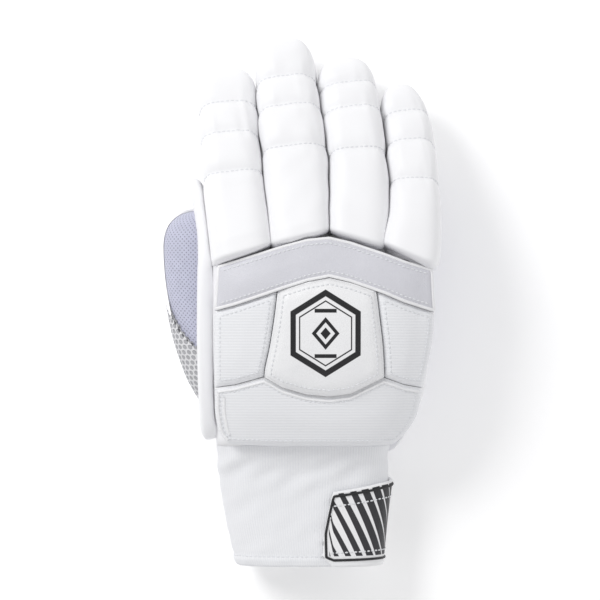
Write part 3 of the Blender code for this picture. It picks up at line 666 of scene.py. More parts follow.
def roll_shape(i, strip, padding, groove_depth):
    """Sections of the padded roll of one finger, and its sewn lines as (points, normals)."""
    root, end = FINGERS["root"][i], FINGERS["end"][i]
    strip = strip[:, 1:-1] + normals(strip)[:, 1:-1] * ROLL_SEAT
    foot = (FINGERS["foot_left"][i] + FINGERS["foot_right"][i]) / 2 - FOOT_OVER
    slant = (FINGERS["foot_right"][i] - FINGERS["foot_left"][i]) / 2
    seams = np.array([FINGERS[f"seam{k}"][i] for k in (1, 2, 3)])
    fine = np.linspace(foot - 0.01, end, 160)
    line, _, up = finger_frames(i, fine)
    tall = np.interp(fine, [root - 0.02, root], [BACK_RISE, FINGER_RISE]) + padding
    seam_at = np.interp(seams, line[:, 1] + up[:, 1] * tall, fine)
    spread = (1 - np.cos(np.linspace(0, np.pi, ROLL_ROWS))) / 2
    at = foot + (0.35 * spread + 0.65 * np.linspace(0, 1, ROLL_ROWS)) * (end - foot)
    line, across, up = finger_frames(i, at)
    rows = strip[:, :, 1].mean(axis=1)
    at_foot = dome(-at, -foot - FOOT_ROUND, -foot, 2.4, 0.9)
    shape = np.maximum(dome(at, end - TIP_LENGTH, end + 0.0001, TIP_HEIGHT_POWER, 1.0) * at_foot, 0.05)
    plan = np.maximum(dome(at, end - TIP_LENGTH, end + 0.0001, TIP_PLAN_POWER, 1.0) * at_foot**0.5, 0.05)
    left, right = finger_edges(i, at)
    groove = near_seams(at, seam_at, ROLL_GROOVE_WIDTH, 1.15)
    half = ((right - left) / 2 - ROLL_GAP / 2 + ROLL_PRESS) * plan - 0.0007 * groove
    height = (np.interp(at, fine, tall) - groove_depth * groove) * shape
    fade = np.clip(1 - (at - foot) / FOOT_TURN, 0.0, 1.0)
    lean = -np.cos(np.pi * np.arange(1, ARC - 1) / (ARC - 1))
    core = np.stack([
        np.stack([np.interp(at + slant * fade * lean[c], rows, strip[:, c, a]) for a in range(3)], axis=1)
        for c in range(ARC - 2)
    ], axis=1)
    tail = strip[-1] - finger_line(i, rows[-1:])[0]
    past = at > rows[-1]
    near_end = (end - at[past]) / (end - rows[-1])
    core[past] = line[past][:, None] + tail * (0.9 * near_end)[:, None, None]
    core[past] -= up[past][:, None] * (0.0012 * (1 - near_end))[:, None, None]
    turn = 1 - fade[:, None]
    up = unit(up * turn + np.array([0.0, 0.0, 1.0]) * (1 - turn))
    sections, shape = over_core(core, line, across, up, half, height)
    sections[:, :ROLL_COLUMNS, 1] += slant * fade[:, None] * shape[:, 0]
    a, b = np.meshgrid(shape[:, 0] * half.max(), at)
    over = sections[:, :ROLL_COLUMNS]
    out = normals(over)
    near = near_seams(at, seam_at, PUCKER_WIDTH, 2)[:, None]
    pucker = ripple(a, b * 0.2, 11 + i, 0.0036) * near * 0.00038
    loose = ripple(a, b, 21 + i, 0.016) * 0.0004
    sections[:, :ROLL_COLUMNS] = over + out * (pucker + loose)[:, :, None]
    lines = []
    for s in seam_at:
        row = int(np.argmin(np.abs(at - s)))
        inner = slice(4, ROLL_COLUMNS - 4)
        lines.append((sections[row, inner], out[row, inner]))
    return sections, lines, seam_at, at


CAP_COLUMNS = 49
CAP_DEPTH = 0.0032
CAP_DENT = 0.0013


def cap_shape(i):
    """Outer and inner skin of a fingertip's padded front, and its sewn lines."""
    end = FINGERS["end"][i]
    y = end - CAP_LENGTH + np.linspace(0.0, 1.0, 64) ** 0.85 * (CAP_LENGTH - 0.0004)
    line, across, up = finger_frames(i, y)
    left, right = finger_edges(i, y)
    shape = arc(1.0, 1.0, CAP_COLUMNS)
    cross = end - CAP_CROSS
    middle = np.exp(-(np.abs(np.linspace(-1, 1, CAP_COLUMNS)) / 0.05) ** 1.2)
    centre = middle[None] * ease(y, cross, cross + 0.002)[:, None]
    seam = bell(y - cross, 0.0011)[:, None] + bell(y - (end - CAP_LENGTH + 0.004), 0.0009)[:, None] * 0.6
    shrink = dome(y, end - TIP_LENGTH, end + 0.0001, TIP_HEIGHT_POWER, 0.9999)
    plan = dome(y, end - TIP_LENGTH, end + 0.0001, TIP_PLAN_POWER, 0.9999)
    skins = []
    for wall in (0.0, CAP_WALL):
        half = np.maximum(((right - left) / 2 - 0.0008) * plan - wall, 0.0004)
        if wall > 0:
            half = np.minimum(half, finger_width(i) - LEATHER_WALL)
        deep = np.maximum((FINGER_DROP + CAP_DEPTH) * shrink - wall, 0.0003)
        dent = (np.maximum(centre, seam) * CAP_DENT)[:, :, None] * (wall == 0.0)
        grid = (
            line[:, None]
            + across[:, None] * (shape[None, :, :1] * half[:, None, None])
            - up[:, None] * (SEAM_GAP / 2 + shape[None, :, 1:] * (deep[:, None, None] - dent))
        )
        grid[:, :, 2] = np.maximum(grid[:, :, 2], wall * 0.8)
        skins.append(grid)
    down = -normals(skins[0])
    row = int(np.argmin(np.abs(y - cross)))
    lines = [(skins[0][k, 3:-3], down[k, 3:-3]) for k in (row - 3, row + 3)]
    lines += [(skins[0][row:-6, k], down[row:-6, k]) for k in (CAP_COLUMNS // 2 - 2, CAP_COLUMNS // 2 + 2)]
    return skins[0], skins[1], lines


def steps(count, power=1.7):
    """Places from 0 to 1, closer together near both ends."""
    t = np.linspace(-1.0, 1.0, count)
    return (1 + np.sign(t) * (1 - (1 - np.abs(t)) ** power)) / 2


def rise(distance, radius):
    """A quarter round: 0 at an edge, 1 at the radius and beyond."""
    return np.sqrt(1 - (1 - np.clip(distance / radius, 0.0, 1.0)) ** 2)


PLAN_TURNS = 8


def pad_plan(left, right, low, high, wide, long):
    """Plan of a pad between two side lines and two cross lines: x, y and distances from its sides."""
    u, v = np.meshgrid(steps(wide), steps(long))
    y = np.full_like(u, (PAD_RINGS[low].mean() + PAD_RINGS[high].mean()) / 2)
    for _ in range(PLAN_TURNS):
        x0 = smooth(y.ravel(), PAD_SIDES["y"], PAD_SIDES[left]).reshape(y.shape) + PAD_JOINT / 2
        x1 = smooth(y.ravel(), PAD_SIDES["y"], PAD_SIDES[right]).reshape(y.shape) - PAD_JOINT / 2
        x = x0 + u * (x1 - x0)
        y0 = np.interp(x, PAD_RINGS["x"], PAD_RINGS[low]) + PAD_JOINT / 2
        y1 = np.interp(x, PAD_RINGS["x"], PAD_RINGS[high]) - PAD_JOINT / 2
        y = y0 + v * (y1 - y0)
    return x, y, {"left": x - x0, "right": x1 - x, "low": y - y0, "high": y1 - y}


EDGE_ROUND = 0.0018
JOINT_SHARE = 0.80
PAD_SINK = 0.0008
SKIRT_DEPTH = 0.0003
PAD_SAG = 0.0003
PAD_WRINKLE = 0.0002


def pad_shape(lines, joined, thick, wide, long, round_edge, seed):
    """A crowned, padded panel on the hand's back as a grid, with distances to its edges.

    Its joined sides meet a neighbour in a shallow valley; the others fall to the hand.
    """
    x, y, sides = pad_plan(*lines.split(), wide, long)
    across = np.minimum(sides["left"], sides["right"])
    along = np.minimum(sides["low"], sides["high"])
    sharp = 1.0
    for side, distance in sides.items():
        start = JOINT_SHARE if side in joined.split() else 0.0
        sharp = sharp * (start + (1 - start) * rise(distance, EDGE_ROUND))
    soft = rise(across, round_edge) * rise(along, round_edge)
    inwards = np.minimum(across, along)
    height = thick * (0.66 * sharp + 0.27 * soft + 0.07 * np.clip(inwards / 0.02, 0, 1))
    wrinkle = ripple(x, y, seed, 0.005) * PAD_WRINKLE * np.exp(-inwards / 0.004)
    height += sharp * (wrinkle + ripple(x, y, seed + 40, 0.02) * PAD_SAG)
    z = back_height(x, y) + PAD_SEAT - PAD_SINK * (1 - sharp) + height
    return np.stack([x, y, z], axis=2), across, along


def skirted(grid):
    """A pad's grid with one more ring of points straight under its edge, on the hand's back."""
    wide = np.pad(grid, ((1, 1), (1, 1), (0, 0)), mode="edge")
    foot = back_height(wide[:, :, 0], wide[:, :, 1]) + PAD_SEAT - PAD_SINK - SKIRT_DEPTH
    foot[1:-1, 1:-1] = wide[1:-1, 1:-1, 2]
    wide[:, :, 2] = foot
    return wide


def inset_line(grid, across, along, inset, side):
    """A line on a pad's grid at a distance in from its left, right, low or high side, with normals."""
    out = normals(grid)
    if side in ("left", "right"):
        grid, out, across, along = grid.swapaxes(0, 1), out.swapaxes(0, 1), along.T, across.T
    half = len(grid) // 2
    inside = across[half] >= inset * 0.9
    near = slice(0, half) if side in ("left", "low") else slice(len(grid) - 1, half, -1)
    distances = along[near]

    def at_inset(values):
        return np.array([
            [np.interp(inset, distances[:, c], values[near][:, c, k]) for k in range(3)]
            for c in np.flatnonzero(inside)
        ])

    return at_inset(grid), unit(at_inset(out))


def border(grid, across, along, inset, sides):
    """The inset lines of several sides."""
    return [inset_line(grid, across, along, inset, side) for side in sides.split()]


THUMB_ROUND = 60
THUMB_POWER = 2.2
STALL_FOOT = 0.066
TIP_START = 0.017
THUMB_ROWS = np.concatenate([
    np.linspace(STALL_FOOT, THUMB_MOUTH, 22), np.linspace(THUMB_MOUTH, THUMB_TIP - TIP_START, 34)[1:],
    THUMB_TIP - TIP_START * (1 - np.linspace(0, 1, 20)[1:]) ** 2.2,
])


def thumb_rings(grow, y=THUMB_ROWS):
    """Sections of the thumb's stall, larger or smaller than its outer skin by grow."""
    x = smooth(y, THUMB["y"], THUMB["x"])
    middle = THUMB_Z - np.interp(y, THUMB["y"], THUMB["dip"])
    size = dome(y, THUMB_TIP - 0.020, THUMB_TIP, TIP_POWER, 1.0) * dome(-y, -0.098, -0.062, 2.0)
    grids = []
    for k, v in enumerate(y):
        half_width = max(THUMB_HALF_WIDTH * size[k] + grow, 0.0005)
        shape = ring(half_width, max(THUMB_HALF_HEIGHT * size[k] + grow, 0.0005), THUMB_POWER, THUMB_ROUND)
        px, pz = x[k] + shape[:, 0], middle[k] + shape[:, 1]
        palm = hand_section(np.array([v]), px, -1, 0.0)
        limit = palm - 0.0004 + min(grow, 0.0)
        blend = 1 - ease(v, THUMB_MOUTH, THUMB_MOUTH + 0.006)
        pz = pz - np.maximum(pz - limit, 0.0) * blend
        grids.append(np.stack([px, np.full_like(px, v), pz], axis=1))
    return np.array(grids)


CUFF_TURN = 24


def cuff_rings(y, grow, turns):
    """Sections of the cuff at y; turns are places round it, in twenty-fourths from its left side."""
    rows = {k: smooth(y, CUFF["y"], CUFF[k]) for k in CUFF}
    angle = np.pi - turns * 2 * np.pi / CUFF_TURN
    c, s = np.cos(angle), np.sin(angle)
    across = np.sign(c) * np.abs(c) ** (2 / CUFF_POWER)
    up = np.sign(s) * np.abs(s) ** (2 / CUFF_POWER)
    half = (rows["right"] - rows["left"])[:, None] / 2 + grow
    x = (rows["right"] + rows["left"])[:, None] / 2 + half * across
    z = rows["middle"][:, None] + (rows["half_height"][:, None] + grow) * up
    return np.stack([x, np.broadcast_to(np.asarray(y)[:, None], x.shape), z], axis=2)


STRAP = table("round low high", [
    (0.00, 0.073, 0.202), (0.026, 0.0, 0.661), (0.20, 0.0, 0.734), (0.46, 0.0, 0.789),
    (0.54, 0.018, 0.881), (0.60, 0.018, 1.0), (0.80, 0.0, 1.0), (0.88, 0.0, 0.807),
    (0.97, 0.037, 0.532), (1.00, 0.294, 0.440),
], (1.0, 0.0545, 0.0545))
STRAP_START = 6.6
STRAP_END = 22.3
STRAP_COLUMNS = 150
STRAP_CORNER = 0.03
STRAP_ROWS = 30


def strap_shape(grow):
    """One skin of the strap round the cuff, from its end on the back to its point on the palm."""
    u = np.concatenate([
        np.linspace(0.0, STRAP_CORNER, 12), np.linspace(STRAP_CORNER, 1.0, STRAP_COLUMNS - 11)[1:],
    ])
    low, high = (np.interp(u, STRAP["round"], STRAP[k]) for k in ("low", "high"))
    v = np.linspace(0.0, 1.0, STRAP_ROWS)
    turns = STRAP_START + u * (STRAP_END - STRAP_START)
    columns = [cuff_rings(low[j] + v * (high[j] - low[j]), grow, turns[j:j + 1])[:, 0] for j in range(len(u))]
    grid = np.stack(columns, axis=1)
    grid[:, :, 2] = np.maximum(grid[:, :, 2], FLOOR_GAP)
    return grid


def pads_left(y):
    """The left edge of the pads and of the index roll above them."""
    return np.interp(y, np.append(PAD_SIDES["y"], EDGES["y"]), np.append(PAD_SIDES["left"], EDGES["e0"]))


INDEX_BAR = table("y x z", [
    (0.236, -0.438, 0.66), (0.32, -0.445, 0.84), (0.42, -0.450, 0.96), (0.52, -0.449, 0.99),
    (0.62, -0.449, 0.91), (0.73, -0.496, 0.76),
], (L, W, H))
INDEX_BAR_HALF_WIDTH = 0.0034

LITTLE_BAR = table("y x z", [
    (0.30, 0.545, 0.78), (0.36, 0.567, 0.88), (0.42, 0.584, 0.95), (0.48, 0.595, 0.97), (0.545, 0.602, 0.97),
], (L, W, H))
LITTLE_BAR_HALF_WIDTH = 0.0026
BAR_HALF_HEIGHT = 0.0080


def bar_shape(data, half_width, neighbour=None):
    """A padded bar along the hand's side, with rounded ends; it may widen to meet its neighbour."""
    y = data["y"][0] + steps(90, 1.5) * (data["y"][-1] - data["y"][0])
    line = np.stack([smooth(y, data["y"], data["x"]), y, smooth(y, data["y"], data["z"])], axis=1)
    size = dome(y, y[-1] - 0.012, y[-1], 2.2, 0.995) * dome(-y, -y[0] - 0.010, -y[0], 2.2, 0.995)
    shape = ring(1.0, 1.0, 2.4, 24)
    wave = 1 + 0.025 * ripple(shape[None, :, 0] * 0.004, y[:, None], 5, 0.011)
    pinch = 1 - 0.16 * bell(shape[:, 1] - 0.45, 0.16)[None, :]
    right = half_width if neighbour is None else np.maximum(half_width, neighbour(y) - line[:, 0] + 0.0005)
    half = np.where(shape[None, :, 0] > 0, np.broadcast_to(right, len(y))[:, None], half_width)
    across = half * size[:, None] * shape[None, :, 0] * wave * pinch
    up = (BAR_HALF_HEIGHT * size)[:, None] * shape[None, :, 1]
    return line[:, None] + np.stack([across, np.zeros_like(across), up], axis=2)


# Shaders

class Wire:
    """A shader's value, to be added, taken away, multiplied and divided like a number."""

    def __init__(self, recipe, socket):
        self.recipe, self.socket = recipe, socket

    def math(self, operation, *others):
        return self.recipe.node("ShaderNodeMath", (self, *others), operation=operation)

    def __add__(self, other):
        return self.math("ADD", other)

    def __radd__(self, other):
        return self.math("ADD", other)

    def __sub__(self, other):
        return self.math("SUBTRACT", other)

    def __rsub__(self, other):
        return self.recipe.node("ShaderNodeMath", (other, self), operation="SUBTRACT")

    def __mul__(self, other):
        return self.math("MULTIPLY", other)

    def __rmul__(self, other):
        return self.math("MULTIPLY", other)

    def __truediv__(self, other):
        return self.math("DIVIDE", other)

    def abs(self):
        return self.math("ABSOLUTE")

    def least(self, other):
        return self.math("MINIMUM", other)

    def most(self, other):
        return self.math("MAXIMUM", other)

    def repeat(self, pitch):
        """Distance from the nearest odd half of the pitch."""
        return ((self / pitch).math("FRACT") - 0.5).abs() * pitch

    def below(self, edge, soft):
        """1 where the value is under the edge, 0 over it, with a soft change between."""
        return ((edge - self) / soft + 0.5).math("MINIMUM", 1.0).math("MAXIMUM", 0.0)


class Recipe:
    """A Principled material and the nodes that feed it."""

    def __init__(self, name, colour, roughness, specular=0.5, sheen=0.0):
        self.material = bpy.data.materials.new(name)
        self.material.use_nodes = True
        self.tree = self.material.node_tree
        self.shader = self.tree.nodes["Principled BSDF"]
        self.shader.inputs["Base Color"].default_value = (*colour, 1.0)
        self.shader.inputs["Roughness"].default_value = roughness
        self.shader.inputs["Specular IOR Level"].default_value = specular
        self.shader.inputs["Sheen Weight"].default_value = sheen

    def node(self, kind, inputs=(), out=0, **settings):
        """Adds a node: inputs are numbers, colours or wires, in the order or by the name of its sockets."""
        node = self.tree.nodes.new(kind)
        for key, value in settings.items():
            setattr(node, key, value)
        named = inputs.items() if isinstance(inputs, dict) else enumerate(inputs)
        for key, value in named:
            if isinstance(value, Wire):
                self.tree.links.new(value.socket, node.inputs[key])
            else:
                node.inputs[key].default_value = value
        return Wire(self, node.outputs[out])

    def set(self, name, wire):
        """Feeds one of the shader's inputs."""
        self.tree.links.new(wire.socket, self.shader.inputs[name])

    def place(self):
        """The piece's own coordinates."""
        return self.node("ShaderNodeTexCoord", out="Object")

    def flat(self):
        """The pattern's two coordinates in metres: across and along."""
        node = self.tree.nodes.new("ShaderNodeSeparateXYZ")
        self.tree.links.new(self.node("ShaderNodeUVMap", uv_map="flat").socket, node.inputs[0])
        return [Wire(self, node.outputs[k]) for k in range(2)]

    def noise(self, scale, detail=3.0):
        """Cloudy unevenness between 0 and 1."""
        return self.node("ShaderNodeTexNoise", {"Vector": self.place(), "Scale": scale, "Detail": detail})

    def cells(self, scale):
        """Distance to the edges of random cells."""
        inputs = {"Vector": self.place(), "Scale": scale}
        return self.node("ShaderNodeTexVoronoi", inputs, feature="DISTANCE_TO_EDGE")

    def mix(self, factor, first, second):
        """Between two colours, by a wire from 0 to 1."""
        node = self.tree.nodes.new("ShaderNodeMix")
        node.data_type = "RGBA"
        self.tree.links.new(factor.socket, node.inputs[0])
        for key, value in (("A", first), ("B", second)):
            socket = [s for s in node.inputs if s.name == key and s.type == "RGBA"][0]
            if isinstance(value, Wire):
                self.tree.links.new(value.socket, socket)
            else:
                socket.default_value = (*value, 1.0)
        return Wire(self, [s for s in node.outputs if s.type == "RGBA"][0])

    def bump(self, height, distance, strength):
        """Relief, from a height in shares of the distance."""
        self.set("Normal", self.node(
            "ShaderNodeBump", {"Height": height, "Distance": distance, "Strength": strength}))


WHITE = (0.90, 0.90, 0.905)
WHITE_SHADE = (0.86, 0.865, 0.88)
CLOTH = (0.87, 0.875, 0.89)
# the next colour is the painted shade in the cloth's rib grooves, and also its darker weave tone
CLOTH_GROOVE_SHADE = (0.79, 0.80, 0.83)
GREY = (0.69, 0.69, 0.735)
LAVENDER = (0.62, 0.63, 0.76)
# the next colour is the painted shade inside the palm's punched holes
HOLE_SHADE = (0.28, 0.285, 0.38)
BLACK = (0.012, 0.012, 0.014)
PRINT_BLACK = (0.03, 0.03, 0.034)
BINDING = (0.91, 0.91, 0.92)
THREAD = (0.80, 0.81, 0.83)
NET = (0.80, 0.80, 0.815)
# the next colour is the painted shade inside the spacer mesh's holes
NET_HOLE_SHADE = (0.42, 0.42, 0.44)


def leather(name, light, shade, roughness=0.42, grain=1150.0):
    """Fine-grained leather: cells, pores and soft creases. Returns its recipe and its colour."""
    r = Recipe(name, light, roughness, specular=0.42)
    patches = r.noise(55.0, 4.0)
    colour = r.mix((patches - 0.35) * 1.6, light, shade)
    r.set("Base Color", colour)
    pebble = r.cells(grain)
    fine = r.noise(3200.0, 2.0)
    soft = r.noise(190.0, 3.0)
    r.set("Roughness", patches * 0.16 + (roughness - 0.08))
    crease = r.noise(70.0, 5.0)
    r.bump(pebble.least(0.32) * 1.6 + fine * 0.25 + soft * 1.2 + crease * 2.6, 0.00022, 0.6)
    return r, colour


def ribbed(name, light, shade, pitch, across):
    """Fine ribbed cloth: ribs across or along the pattern, and the threads that make them, with painted shade
    in the grooves between the ribs.
    """
    r = Recipe(name, light, 0.85, specular=0.2, sheen=0.15)
    u, v = r.flat()
    over, other = (v, u) if across else (u, v)
    rib = over.repeat(pitch) / (pitch / 2)
    thread = other.repeat(pitch * 0.55) / (pitch * 0.275)
    weave = r.noise(900.0, 3.0)
    # painted shade: the colour darkens in the grooves between the ribs, and the weave's noise adds an uneven
    # tone on top
    r.set("Base Color", r.mix((1.0 - rib) * 0.6 + weave * 0.2 - 0.15, light, shade))
    r.bump(rib * 0.8 + thread * 0.18 + weave * 0.35, pitch * 0.20, 0.5)


def lattice(u, v, pitch):
    """Distance to the nearest point of a diagonal lattice of that pitch."""
    a, b = u.repeat(pitch), v.repeat(pitch)
    c, d = (u + pitch / 2).repeat(pitch), (v + pitch / 2).repeat(pitch)
    return (a * a + b * b).math("SQRT").least((c * c + d * d).math("SQRT"))


HOLE_RADIUS = 0.00036


def suede(name, light, shade, pitch):
    """Suede, punched with a fine diagonal lattice of holes, each painted as a dark dot for the shade inside
    it.
    """
    r = Recipe(name, light, 0.8, specular=0.2, sheen=0.25)
    u, v = r.flat()
    nap = r.noise(240.0, 5.0)
    base = r.mix((nap - 0.3) * 1.5, light, shade)
    hole = lattice(u, v, pitch).below(HOLE_RADIUS, 0.00014)
    # painted shade: the punched holes are coloured dark for the shade inside them
    r.set("Base Color", r.mix(hole * 0.85, base, HOLE_SHADE))
    fold = r.noise(42.0, 2.0)
    r.bump(fold * 3.5 + nap * 0.5 + r.noise(2600.0) * 0.3 - hole * 1.3, 0.0003, 0.7)


def six_sided(x, y, flank):
    """Size of the upright six-sided ring through a place; flank sets how steep its slanting sides are."""
    return x.most(x * 0.5 + y * flank)


NET_PITCH = 0.0032
NET_HOLE_RADIUS = 0.00105


def netting(name):
    """Spacer mesh: rows of six-sided holes, painted darker for the shade inside them."""
    r = Recipe(name, NET, 0.8, specular=0.25)
    u, v = r.flat()
    row = NET_PITCH * 1.732
    a, b = u.repeat(NET_PITCH), v.repeat(row)
    c, d = (u + NET_PITCH / 2).repeat(NET_PITCH), (v + row / 2).repeat(row)
    hole = six_sided(a, b, 0.866).least(six_sided(c, d, 0.866)).below(NET_HOLE_RADIUS, 0.00030)
    threads = r.noise(2400.0, 2.0)
    # painted shade: the holes are coloured darker for the shade inside them
    r.set("Base Color", r.mix(hole * 0.9, NET, NET_HOLE_SHADE))
    r.bump(threads * 0.25 - hole, 0.0009, 0.9)


CREST_HALF = 0.0160
CREST_CENTRE = 0.0315
PRINT_SOFT = 0.0002


def crest(name):
    """White leather with a plain six-sided emblem: an outline round a diamond between bars."""
    r, colour = leather(name, WHITE, WHITE_SHADE, 0.38)
    u, v = r.flat()
    half = CREST_HALF
    x, y = u.abs(), (v - CREST_CENTRE).abs()
    six = six_sided(x, y, 0.80)
    four = x + y * 0.85
    outline = (six - half).abs().below(half * 0.085, PRINT_SOFT)
    inner = (six - half * 0.80).abs().below(half * 0.020, PRINT_SOFT)
    diamond = (four - half * 0.36).abs().below(half * 0.07, PRINT_SOFT)
    core = four.below(half * 0.16, PRINT_SOFT)
    bars = (y - half * 0.70).abs().below(half * 0.06, PRINT_SOFT) * x.below(half * 0.34, PRINT_SOFT)
    mask = outline.most(inner).most(diamond).most(core).most(bars)
    r.set("Base Color", r.mix(mask, colour, BLACK))


# Places along the strap from its shown end, and across it from the cuff's mouth
STRIPES_END = 0.062
ARROW_CENTRE = 0.102
PRINT_TOP = 0.0500
PRINT_FOOT = 0.0045
PRINT_START = 0.0065
STRIPE_PITCH = 0.0064
ARROW_PITCH = 0.0055


def strap_look(name, grey):
    """The strap: white leather, slanting stripes that thicken to one side, and arrows on the palm side."""
    r, colour = leather(name, WHITE, WHITE_SHADE, 0.45)
    u, v = r.flat()
    inside = v.below(PRINT_TOP, PRINT_SOFT)
    inside *= (PRINT_FOOT - v).below(0.0, PRINT_SOFT) * (PRINT_START - u).below(0.0, PRINT_SOFT)
    slant = (u + v * 0.55).repeat(STRIPE_PITCH)
    stripes = (slant - u.least(0.050) * 0.052).below(0.0006, PRINT_SOFT) * u.below(STRIPES_END, PRINT_SOFT)
    arrow = u + (v - 0.027).abs() * 0.62 - ARROW_CENTRE
    wide = arrow.abs().below(0.0070, PRINT_SOFT)
    narrow = arrow.repeat(ARROW_PITCH).below(0.0010, PRINT_SOFT) * arrow.abs().below(0.0180, PRINT_SOFT)
    palm = (STRIPES_END - u).below(-0.004, PRINT_SOFT)
    colour = r.mix(wide * palm * inside, colour, grey)
    mask = stripes.most(narrow * (1.0 - wide) * palm) * inside
    r.set("Base Color", r.mix(mask, colour, PRINT_BLACK))


def darker(colour, share):
    """A shaded version of a colour."""
    return tuple(np.array(colour) * (1 - share))


def make_materials(settings):
    """Every leather, cloth, mesh and thread, by name."""
    band, palm = tuple(settings.band_colour), tuple(settings.palm_colour)
    leather("white_leather", WHITE, WHITE_SHADE)
    leather("grey_band", band, darker(band, 0.08), 0.42)
    leather("binding", BINDING, WHITE, 0.36, 1500.0)
    ribbed("ribbed_cloth", CLOTH, CLOTH_GROOVE_SHADE, settings.rib_pitch, True)
    ribbed("cuff_cloth", CLOTH, CLOTH_GROOVE_SHADE, settings.rib_pitch * 0.93, False)
    suede("lavender", palm, darker(palm, 0.14), settings.hole_pitch)
    netting("net")
    crest("crest_leather")
    strap_look("strap_leather", darker(band, 0.08))
    thread = Recipe("thread", THREAD, 0.6)
    thread.bump(thread.noise(4000.0, 2.0), 0.0001, 0.5)
    Recipe("black_edge", BLACK, 0.5)


# Dressing

PADS_MIDDLE = 0.0125


def pattern(grid):
    """The flat pattern of a pad's grid, in metres: across from the pads' middle, along from its foot."""
    return np.stack([grid[:, :, 0] - PADS_MIDDLE, grid[:, :, 1] - grid[:, :, 1].min()], axis=2)


FINGERS_START = 0.66 * L


def air_the_fingers(palm):
    """Turns the fingers' side walls to spacer mesh."""
    mesh = palm.data
    mesh.materials.append(bpy.data.materials["net"])
    facing, middle = np.empty(len(mesh.polygons) * 3), np.empty(len(mesh.polygons) * 3)
    mesh.polygons.foreach_get("normal", facing)
    mesh.polygons.foreach_get("center", middle)
    beside = np.abs(facing.reshape(-1, 3)[:, 0]) > 0.80
    on_finger = middle.reshape(-1, 3)[:, 1] - SHIFT[1] > FINGERS_START
    mesh.polygons.foreach_set("material_index", (beside & on_finger).astype(np.int32))


def back_shares():
    """Shares of each finger's length where the sections of its back stand."""
    return [
        np.append(np.linspace(0.0, front_reach(i), 8), np.linspace(front_reach(i), 0.97, 12)[1:])
        for i in range(4)
    ]


def dress_hand():
    """The leather of the back and of the palm; returns the palm's sewn lines."""
    half_hand("hand_back", 1, BACK_WALL, back_shares(), "white_leather", "glove_back")
    fronts = [tuple(np.linspace(0.0, front_reach(i), 14)) for i in range(4)]
    palm, strips = half_hand(
        "hand_palm", -1, LEATHER_WALL, fronts, "lavender", "palm_leather", in_thumb_mouth)
    air_the_fingers(palm)
    lines = []
    first = len(HAND_ROWS) + len(BLEND) - 6
    for strip in strips:
        down = -normals(strip)
        lines += [(strip[first:-1, k], down[first:-1, k]) for k in (2, ARC - 3)]
        lines.append((strip[-2, 1:-1], down[-2, 1:-1]))
    return lines


def dress_rolls(settings):
    """The four padded rolls, blown up between their sewn lines, which it returns."""
    strips = comb(1, 0.0, back_shares())[2]
    lines = []
    for i, name in enumerate(FINGER_NAMES):
        sections, sewn, seam_at, at = roll_shape(i, strips[i], settings.roll_padding, settings.roll_groove)
        cloth = Cloth()
        cloth.grid(tube_ends(sections), round_u=True)
        thing = cloth.make(f"{name}_finger_roll", "white_leather", f"{name}_roll")
        row, column = np.indices((len(at) + 2, sections.shape[1]))
        station = np.concatenate([at[:1], at, at[-1:]])[row]
        sewn_row = sum(np.abs(station - s) < 0.0009 for s in seam_at) > 0
        held = (column < 3) | (column > ROLL_COLUMNS - 4) | sewn_row | (row < 3) | (row > len(at) - 6)
        swell(thing, np.flatnonzero(held), settings.pressure)
        lines += sewn
    return lines


def dress_caps():
    """The four padded fingertips; returns their sewn lines."""
    lines = []
    for i, name in enumerate(FINGER_NAMES):
        outer, inner, sewn = cap_shape(i)
        cloth = Cloth()
        cloth.grid(outer, flip=True)
        cloth.grid(inner)
        cloth.rim(outer[0], inner[0], outer[1])
        cloth.rim(outer[-1], inner[-1], outer[-2], flip=True)
        cloth.rim(outer[:, 0], inner[:, 0], outer[:, 1], flip=True)
        cloth.rim(outer[:, -1], inner[:, -1], outer[:, -2])
        thing = cloth.make(f"{name}_fingertip", "white_leather", f"{name}_cap")
        lines += sewn
    return lines


ALL_SIDES = "left right low high"

# Name, its lines in PAD_SIDES and PAD_RINGS, joined sides, thickness, columns, rows, look, edge's round
PADS = (
    ("knuckle_band", "left right band_low band_high", "low", 0.0130, 150, 40, "grey_band", 0.0035),
    ("centre_pad", "inner outer low band_low", ALL_SIDES, 0.0150, 84, 72, "crest_leather", 0.007),
    ("inner_pad", "left inner low band_low", "right low high", 0.0122, 52, 72, "ribbed_cloth", 0.0045),
    ("outer_pad", "outer right low band_low", "left low high", 0.0122, 52, 72, "ribbed_cloth", 0.0045),
    ("lower_pad", "left right cuff low", "high", 0.0104, 150, 52, "ribbed_cloth", 0.0045),
)
SEWN_INSET = 0.0032

# Piping of each pad: side, inset, lift and radius
PIPING = {
    "knuckle_band": [(side, 0.0011, 0.0002, 0.0009) for side in ("low", "high", "left", "right")],
    "centre_pad": [(side, 0.0004, -0.0002, 0.0006) for side in ALL_SIDES.split()],
    "inner_pad": [("high", 0.0004, -0.0002, 0.0006)],
    "outer_pad": [("high", 0.0004, -0.0002, 0.0006)],
    "lower_pad": [
        ("high", 0.0004, -0.0002, 0.0006), ("left", 0.0022, 0.0001, 0.00075),
        ("left", 0.0052, 0.0001, 0.00075), ("high", 0.0022, 0.0001, 0.00075),
    ],
}


def dress_pads():
    """The knuckle band, the four pads and their piping; returns their sewn lines."""
    lines = []
    edging = Cloth()
    for seed, (name, outline, joined, thick, wide, long, look, radius) in enumerate(PADS, 3):
        grid, across, along = pad_shape(outline, joined, thick, wide, long, radius, seed)
        cloth = Cloth()
        cloth.grid(skirted(grid), pattern(skirted(grid)))
        cloth.make(f"{name}_cover", look, name)
        sewn_sides = "low high" if name == "knuckle_band" else ALL_SIDES
        lines += border(grid, across, along, SEWN_INSET, sewn_sides)
        for side, inset, lift, size in PIPING[name]:
            points, ups = inset_line(grid, across, along, inset, side)
            tube(edging, points + ups * lift, size)
    edging.make("piping", "binding")
    return lines


